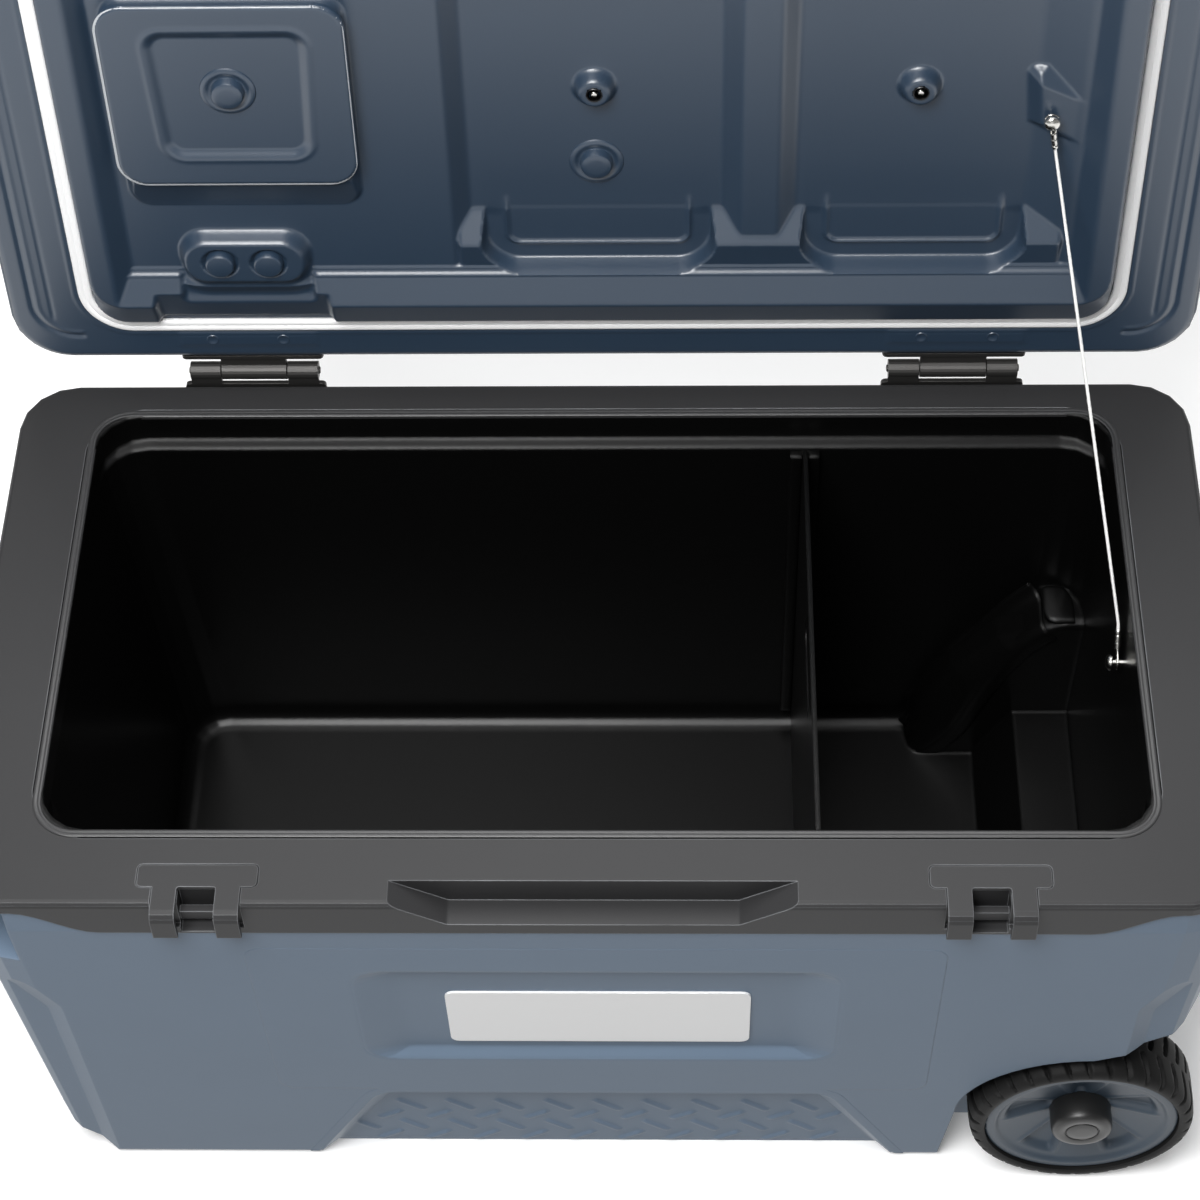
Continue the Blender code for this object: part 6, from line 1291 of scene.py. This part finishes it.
@dataclass
class StayCable:
    """The steel stay between the liner's right wall and the lid: a stranded wire with two end fittings."""

    wire: float = 0.98
    lobes: int = 6
    lay: float = 9.0
    strand: float = 0.12
    sleeve_start: float = 12.0
    sleeve_end: float = 25.7

    def ends(self) -> tuple[CableEnd, CableEnd]:
        """Return the two ends, each with the way that the cable leaves it.

        Returns:
            The lower end and the upper end.
        """
        low_out, top_out = Vector((-1, 0, 0)), lid_frame(*CABLE_TOP).to_3x3() @ Vector((0, 0, 1))
        low_base = Vector((0.3358, 0.006, 0.330))
        top_base = Vector(Lid.place(*CABLE_TOP).reshape(3))
        run = (top_base + top_out * 0.003) - (low_base + low_out * 0.004)
        low_way = (run - low_out * run.dot(low_out)).normalized()
        top_way = -(run - top_out * run.dot(top_out)).normalized()
        return (CableEnd("lower", low_base, low_out, low_way, 4.0, Body.BOX),
                CableEnd("upper", top_base, top_out, top_way, 3.0, Body.LID))

    def line(self, low: CableEnd, top: CableEnd) -> Array:
        """Return the wire's centre line in metres, straight but for a short bend past each sleeve.

        Args:
            low: The lower end.
            top: The upper end.

        Returns:
            Rows of x, y and z in metres.
        """
        feet = [end.base + end.out * end.standoff * MM for end in (low, top)]
        start, end = self.sleeve_start * MM, self.sleeve_end * MM
        knots = [feet[0] + low.way * start, feet[0] + low.way * end, feet[1] + top.way * end,
                 feet[1] + top.way * start]
        knots = np.array([tuple(knot) for knot in knots])
        lengths = np.concatenate([[0], np.cumsum(np.linalg.norm(np.diff(knots, axis=0), axis=1))])
        places = np.linspace(0, lengths[-1], 360)
        run = np.stack([np.interp(places, lengths, knots[:, axis]) for axis in range(3)], axis=-1)
        return relaxed(run, 10)

    def build(self) -> None:
        """Build the fittings and the wire."""
        low, top = self.ends()
        low.build()
        top.build()
        run = self.line(low, top)
        steps = 18
        points = []
        gone = 0.0
        for index, spot in enumerate(run):
            way = Vector(run[min(index + 1, len(run) - 1)] - run[max(index - 1, 0)]).normalized()
            side = way.cross(Vector((1, 0, 0))).normalized()
            other = way.cross(side)
            if index:
                gone += float(np.linalg.norm(spot - run[index - 1])) / MM
            twist = 2 * math.pi * gone / self.lay * self.lobes / 3
            for step in range(steps):
                angle = 2 * math.pi * step / steps
                far = self.wire + self.strand * math.cos(self.lobes * angle - twist)
                rim = side * math.cos(angle) + other * math.sin(angle)
                points.append(tuple(Vector(spot) + rim * far * MM))
        faces = cells(len(run), steps, closed=False)
        wire = solid("stay_cable_wire", np.array(points), faces, sharp_degrees=60)
        dress(wire, CABLE_WIRE)
        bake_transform(wire)
        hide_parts("stay_cable")


@dataclass
class LidHardware:
    """The lid's plugs, threaded inserts, small screws, the pale ring painted as the panel edge's highlight,
    gasket and stay cable.
    """

    plug: tuple = ((0, -1), (17.0, -1), (17.2, 0.1), (16.7, 0.9), (15.6, 1.4), (14.4, 1.6), (13.2, 1.3),
                   (12.2, 0.7), (11.2, 0.4), (10.3, 0.5), (10.0, 1.1), (9.8, 4.8), (9.2, 5.9), (8.0, 6.4),
                   (5, 6.6), (0, 6.7))
    peg: tuple = ((0, -4), (9.2, -4), (9.3, 3.6), (8.9, 4.8), (8.0, 5.5), (5, 5.9), (0, 6.0))
    cup: tuple = ((0, 2), (5.2, 2), (5.2, 11.3), (4.8, 11.8), (4.3, 11.6), (4.0, 10.8), (4.0, 5.0), (0, 5.0))
    post: tuple = ((0, 4.9), (2.2, 4.9), (2.2, 10.6), (1.7, 11.3), (0.8, 11.5), (0, 11.5))
    pad_screws: tuple = (-258, -211, 211, 258)
    screw: tuple = ((0, -0.6), (3.9, -0.6), (4.1, 0.2), (3.7, 0.6), (3.0, 0.5), (2.3, 0.15), (0, 0.1))

    def build(self) -> None:
        """Build each piece; the stay cable's lower end rides on the box, its wire on no body, and the rest on
        the lid.
        """
        for node, along, up, out in (("compartment_plug", -221.1, 254.7, 22.2), ("middle_plug", 0, 181.7, 2)):
            self.turned(f"{node}_turned", self.plug, (along, up, out), LID_BLUE, node)
        for node, along in zip(("small_plug_left", "small_plug_right"), PEGS_ALONG):
            self.turned(f"{node}_turned", self.peg, (along, PEGS_UP, 20.2), LID_BLUE, node)
        for node, along in zip(("insert_middle", "insert_right"), INSERTS_ALONG):
            self.turned(f"{node}_cup", self.cup, (along, INSERTS_UP, 0), INSERT_METAL, node)
            self.turned(f"{node}_post", self.post, (along, INSERTS_UP, 0), STEEL)
        for number, along in enumerate(self.pad_screws):
            self.turned(f"hinge_pad_screw_{number}", self.screw, (along, 34.0, 6.0), LID_BLUE)
        # The pale ring round the panel is a painted highlight of its edge; it shows along the panel's left
        # and hinge-side edges alone
        section = [(-0.4, 22.8), (-0.4, 23.7), (-0.1, 24.0), (1.2, 24.0), (1.2, 22.8)]
        panel_edge_highlight = ring("compartment_panel_edge_highlight", (-296.0, -147.2, 182.3, 317.4), 18, section, Lid.place)
        seat(panel_edge_highlight, PANEL_EDGE_HIGHLIGHT_GREY, Body.LID)
        lips = [(0.2, 3.9), (0, 5.6), (0.5, 6.6), (1.6, 7.0), (3.9, 6.95), (4.75, 6.5), (5.6, 6.95),
                (7.9, 7.0), (9.0, 6.6), (9.5, 5.6), (9.3, 3.9)]
        gasket = ring("lid_gasket_lips", (-342, 342, 42.2, 368.7), 34, lips, Lid.place, corner_steps=24)
        seat(gasket, GASKET_WHITE, Body.LID, "lid_gasket")
        StayCable().build()

    def turned(self, name: str, profile: tuple, spot: tuple, finish: Finish, *replaced: str) -> None:
        """Spin one piece at a spot on the lid.

        Args:
            name: The object's name.
            profile: Its section.
            spot: Along, up and out on the lid, in millimetres.
            finish: Its material.
            *replaced: The CAD nodes it stands for.
        """
        piece = spun(name, profile, lid_frame(*spot), steps=56, sharp_degrees=28)
        seat(piece, finish, Body.LID, *replaced)


@dataclass
class LinerDetail:
    """The liner's lip, painted grey as the highlight on its black rounded edge, and the smooth covers of its
    two wheel bumps.
    """

    opening: tuple = (-341.3, 341.3, -157.2, 181.4)
    radius: float = 27.8

    def build(self) -> None:
        """Build the rings and let them ride on the box."""
        lip = [(0.0, 375.6), (0.0, 376.5), (0.5, 376.88), (2.0, 376.9), (2.5, 376.64), (3.0, 376.64),
               (3.5, 376.88), (4.6, 376.8), (5.4, 376.2), (5.5, 374.0), (4.6, 374.0), (4.2, 375.6)]
        Fender(1, "rear").build()
        Fender(-1, "front").build()
        # The lip bead is painted grey as the highlight of the black liner's rounded top edge
        seat(ring("liner_lip_bead", self.opening, self.radius, lip, upright), LIP_HIGHLIGHT_GREY, Body.BOX)


@dataclass
class Fender:
    """The smooth cover of one wheel bump inside the liner, with a plate on its crest."""

    side: int
    name: str
    rear_wall: float = 168.4
    front_wall: float = 144.2
    wall_draft: float = 22
    wall_top: float = 353.5
    wall_foot: float = 57
    line: tuple = ((222, 57.4), (235, 71), (247, 89), (254, 112), (262.5, 139), (271.5, 161), (283, 182),
                   (294, 197), (305.5, 208.4))

    def wall(self, height: float) -> float:
        """Return how far from the middle the liner's long wall stands at a height, in millimetres."""
        top = self.rear_wall if self.side > 0 else self.front_wall
        return top - self.wall_draft * (self.wall_top - height) / (self.wall_top - self.wall_foot)

    def path(self) -> Array:
        """Return the bump's outline as a smooth run of x and z.

        Returns:
            Rows of x and z in millimetres.
        """
        corners = np.array(self.line, float)
        place = np.arange(len(corners))
        fine = np.linspace(0, len(corners) - 1, 49)
        run = np.stack([np.interp(fine, place, corners[:, axis]) for axis in (0, 1)], axis=-1)
        return relaxed(run, 16)

    def build(self) -> None:
        """Build the cover and the plate and let them ride on the box."""
        run = self.path()
        ways = np.gradient(run, axis=0)
        ways /= np.linalg.norm(ways, axis=1)[:, None]
        out = np.stack([-ways[:, 1], ways[:, 0]], axis=-1)
        points = []
        for spot, normal in zip(run, out):
            far = self.wall(spot[1])
            section = [(122.2, -15), (122.2, -6.5), (123.0, -3.4), (125.0, -1.3), (128.5, 0.8), (131, 1.0),
                       (far - 12, 1.0), (far - 8, 1.6), (far - 5, 3.0), (far - 2.6, 5.6), (far - 1.2, 9),
                       (far - 0.4, 12), (far + 1, 12), (far + 1, -1), (128, -1), (124.5, -4), (124, -15)]
            for across, proud in section:
                place = spot + normal * proud
                points.append((place[0], self.side * across, place[1]))
        faces = cells(len(run), len(section), closed=False)
        cover = solid(f"liner_fender_{self.name}", np.array(points) * MM, faces, sharp_degrees=50)
        seat(cover, LINER_BLACK, Body.BOX)
        seat(self.plate(), LINER_BLACK, Body.BOX)

    def plate(self) -> bpy.types.Object:
        """Build the low plate on the crest, with a round outer edge.

        Returns:
            The new object.
        """
        far = self.wall(214)
        turns = np.linspace(0.15, math.pi / 2, 9)
        arc = [(317.5 + 9.5 * math.cos(turn), far - 24 + 22 * math.sin(turn)) for turn in turns]
        outline = [(326.9, 124.6)] + arc + [(308, far - 2.0), (305.4, far - 4), (305.2, 137), (306.2, 129.5),
                                            (309, 126), (313, 124.6)]
        centre = np.mean(outline, axis=0)
        rows = ((1.0, 213.0), (1.0, 215.4), (0.965, 216.2), (0.9, 216.5))
        points = [(centre[0] + (x - centre[0]) * size, self.side * (centre[1] + (y - centre[1]) * size), z)
                  for size, z in rows for x, y in outline]
        faces = cells(len(rows), len(outline), closed=False)
        return solid(f"liner_fender_plate_{self.name}", np.array(points) * MM, faces, sharp_degrees=40)


class ShellDetail:
    """The moulded detail of the shell's front."""

    def build(self) -> None:
        """Build the front's face and let it ride on the box."""
        across, up = np.linspace(-214.5, 214.5, 430), np.linspace(3, 322.5, 320)
        front = FrontFace("shell_front_face", across, up, back=-12.4)
        seat(front.build(), SHELL_BLUE, Body.BOX)


class CadPieces:
    """The CAD nodes, most of which stay visible under the finer pieces."""

    def dress_all(self) -> None:
        """Give every CAD node its finish, also those that a finer piece replaces."""
        for name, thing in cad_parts.items():
            dress(thing, finish_of(name))
        LOG.info("finished %d CAD nodes", len(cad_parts))


@dataclass
class Studio:
    """The floor, the backdrop, the lights and the camera."""

    floor_half: float = 6.0
    lens: float = 89.08
    location: tuple[float, float, float] = (0.0533, -1.1209, 1.8754)
    right: tuple[float, float, float] = (0.9996, 0.0159, -0.0227)
    up: tuple[float, float, float] = (0.0012, 0.7954, 0.6061)
    floor_lift: float = 0.15
    sweep_start: float = 0.8
    sweep_end: float = 2.6
    gloss_lift: float = 1.4
    dome_strength: float = 0.38
    dome_steps: tuple = ((0.50, 0.85), (0.60, 0.7), (0.72, 0.35), (0.90, 0.35))

    def build(self) -> None:
        """Build the whole studio."""
        self.floor()
        self.world()
        self.lights()
        self.camera()

    def floor(self) -> None:
        """Lay the pale floor."""
        form = bmesh.new()
        bmesh.ops.create_grid(form, x_segments=2, y_segments=2, size=self.floor_half)
        mesh = bpy.data.meshes.new("studio_floor")
        form.to_mesh(mesh)
        form.free()
        floor = bpy.data.objects.new("studio_floor", mesh)
        bpy.context.scene.collection.objects.link(floor)
        paper = Finish("grey_paper_floor", "9A9A9A", 0.9, Grain.SMOOTH, bump=0.0, mottle=0.0, specular=0.1)
        dress(floor, paper)
        self.whiten(paper.build())
        LOG.info("floor laid")

    def whiten(self, paper: bpy.types.Material) -> None:
        """Lift the floor to white where the camera sees it, so that only the soft shadow stays.

        Args:
            paper: The floor's material.
        """
        tree = paper.node_tree
        shader = tree.nodes["Principled BSDF"]
        path = add_node(tree, "ShaderNodeLightPath")
        # Further away the flat paper is lifted to white, like a lit backdrop
        place = add_node(tree, "ShaderNodeTexCoord").outputs["Object"]
        away = add_node(tree, "ShaderNodeVectorMath", {0: place}, operation="LENGTH")
        sweep = add_node(tree, "ShaderNodeMapRange",
                         {"Value": away.outputs["Value"], "From Min": self.sweep_start,
                          "From Max": self.sweep_end, "To Min": self.floor_lift, "To Max": 1.0},
                         interpolation_type="SMOOTHSTEP")
        for_camera = add_node(tree, "ShaderNodeMath",
                              {0: path.outputs["Is Camera Ray"], 1: sweep.outputs["Result"]},
                              operation="MULTIPLY")
        lift = add_node(tree, "ShaderNodeMath", {0: path.outputs["Is Glossy Ray"], 1: self.gloss_lift,
                                                 2: for_camera.outputs[0]}, operation="MULTIPLY_ADD")
        shader.inputs["Emission Color"].default_value = (1, 1, 1, 1)
        tree.links.new(lift.outputs[0], shader.inputs["Emission Strength"])
        shade = add_node(tree, "ShaderNodeMix", {"Factor": path.outputs["Is Camera Ray"], 6: linear("4A4A4A"),
                                                 7: linear("F6F6F6")}, data_type="RGBA")
        tree.links.new(shade.outputs[2], shader.inputs["Base Color"])

    def world(self) -> None:
        """Make a white backdrop for the camera and a soft grey dome for the light."""
        world = bpy.data.worlds.new("studio")
        bpy.context.scene.world = world
        world.use_nodes = True
        tree = world.node_tree
        tree.nodes.clear()
        place = add_node(tree, "ShaderNodeTexCoord").outputs["Generated"]
        parts = add_node(tree, "ShaderNodeSeparateXYZ", {"Vector": place})
        ramp = add_node(tree, "ShaderNodeValToRGB", {"Fac": parts.outputs["Z"]})
        ramp.color_ramp.elements[0].color = (0.8, 0.8, 0.8, 1)
        ramp.color_ramp.elements[1].color = (0.5, 0.5, 0.5, 1)
        # Bright by the horizon, dark where the camera stands, bright again overhead
        for place, grey in self.dome_steps:
            step = ramp.color_ramp.elements.new(place)
            step.color = (grey, grey, grey, 1)
        dome = add_node(tree, "ShaderNodeBackground",
                        {"Color": ramp.outputs["Color"], "Strength": self.dome_strength})
        white = add_node(tree, "ShaderNodeBackground", {"Color": (1, 1, 1, 1), "Strength": 1.0})
        path = add_node(tree, "ShaderNodeLightPath")
        mix = add_node(tree, "ShaderNodeMixShader",
                       {0: path.outputs["Is Camera Ray"], 1: dome.outputs[0], 2: white.outputs[0]})
        add_node(tree, "ShaderNodeOutputWorld", {"Surface": mix.outputs[0]})

    def lights(self) -> None:
        """Hang the soft lights."""
        self.area("key_light", (-0.4, -0.9, 2.3), (0, 0, 0.2), 1.0, 62)
        self.area("top_light", (0.0, 0.85, 2.8), (0, 0, 0.2), 1.5, 54)
        self.area("fill_light", (0.0, -3.0, 0.9), (0, 0, 0.4), 1.6, 4)

    def area(self, name: str, place: tuple, aim: tuple, size: float, power: float) -> None:
        """Hang one square light and aim it.

        Args:
            name: The light's name.
            place: Where it hangs.
            aim: The point it faces.
            size: Its side.
            power: Its power in watts.
        """
        light = bpy.data.lights.new(name, "AREA")
        light.shape = "SQUARE"
        light.size = size
        light.energy = power
        thing = bpy.data.objects.new(name, light)
        thing.location = place
        thing.rotation_euler = (Vector(aim) - Vector(place)).to_track_quat("-Z", "Y").to_euler()
        bpy.context.scene.collection.objects.link(thing)

    def camera(self) -> None:
        """Set the camera where the photograph was taken from."""
        camera = bpy.data.cameras.new("camera")
        camera.lens = self.lens
        camera.sensor_width = 36
        camera.clip_end = 50
        thing = bpy.data.objects.new("camera", camera)
        right = Vector(self.right).normalized()
        up = Vector(self.up).normalized()
        back = right.cross(up).normalized()
        up = back.cross(right)
        turn = Matrix((right, up, back)).transposed().to_4x4()
        thing.matrix_world = Matrix.Translation(self.location) @ turn
        bpy.context.scene.collection.objects.link(thing)
        bpy.context.scene.camera = thing
        bpy.context.scene.view_settings.view_transform = "Standard"
        LOG.info("camera set")


def main() -> None:
    """Build every sub-assembly in order."""
    logging.basicConfig(level=logging.INFO, format="%(message)s")
    Studio().build()
    CadPieces().dress_all()
    LidDetail().build()
    LidHardware().build()
    LinerDetail().build()
    ShellDetail().build()
    WheelDetail().build()


if __name__ == "__main__":
    main()
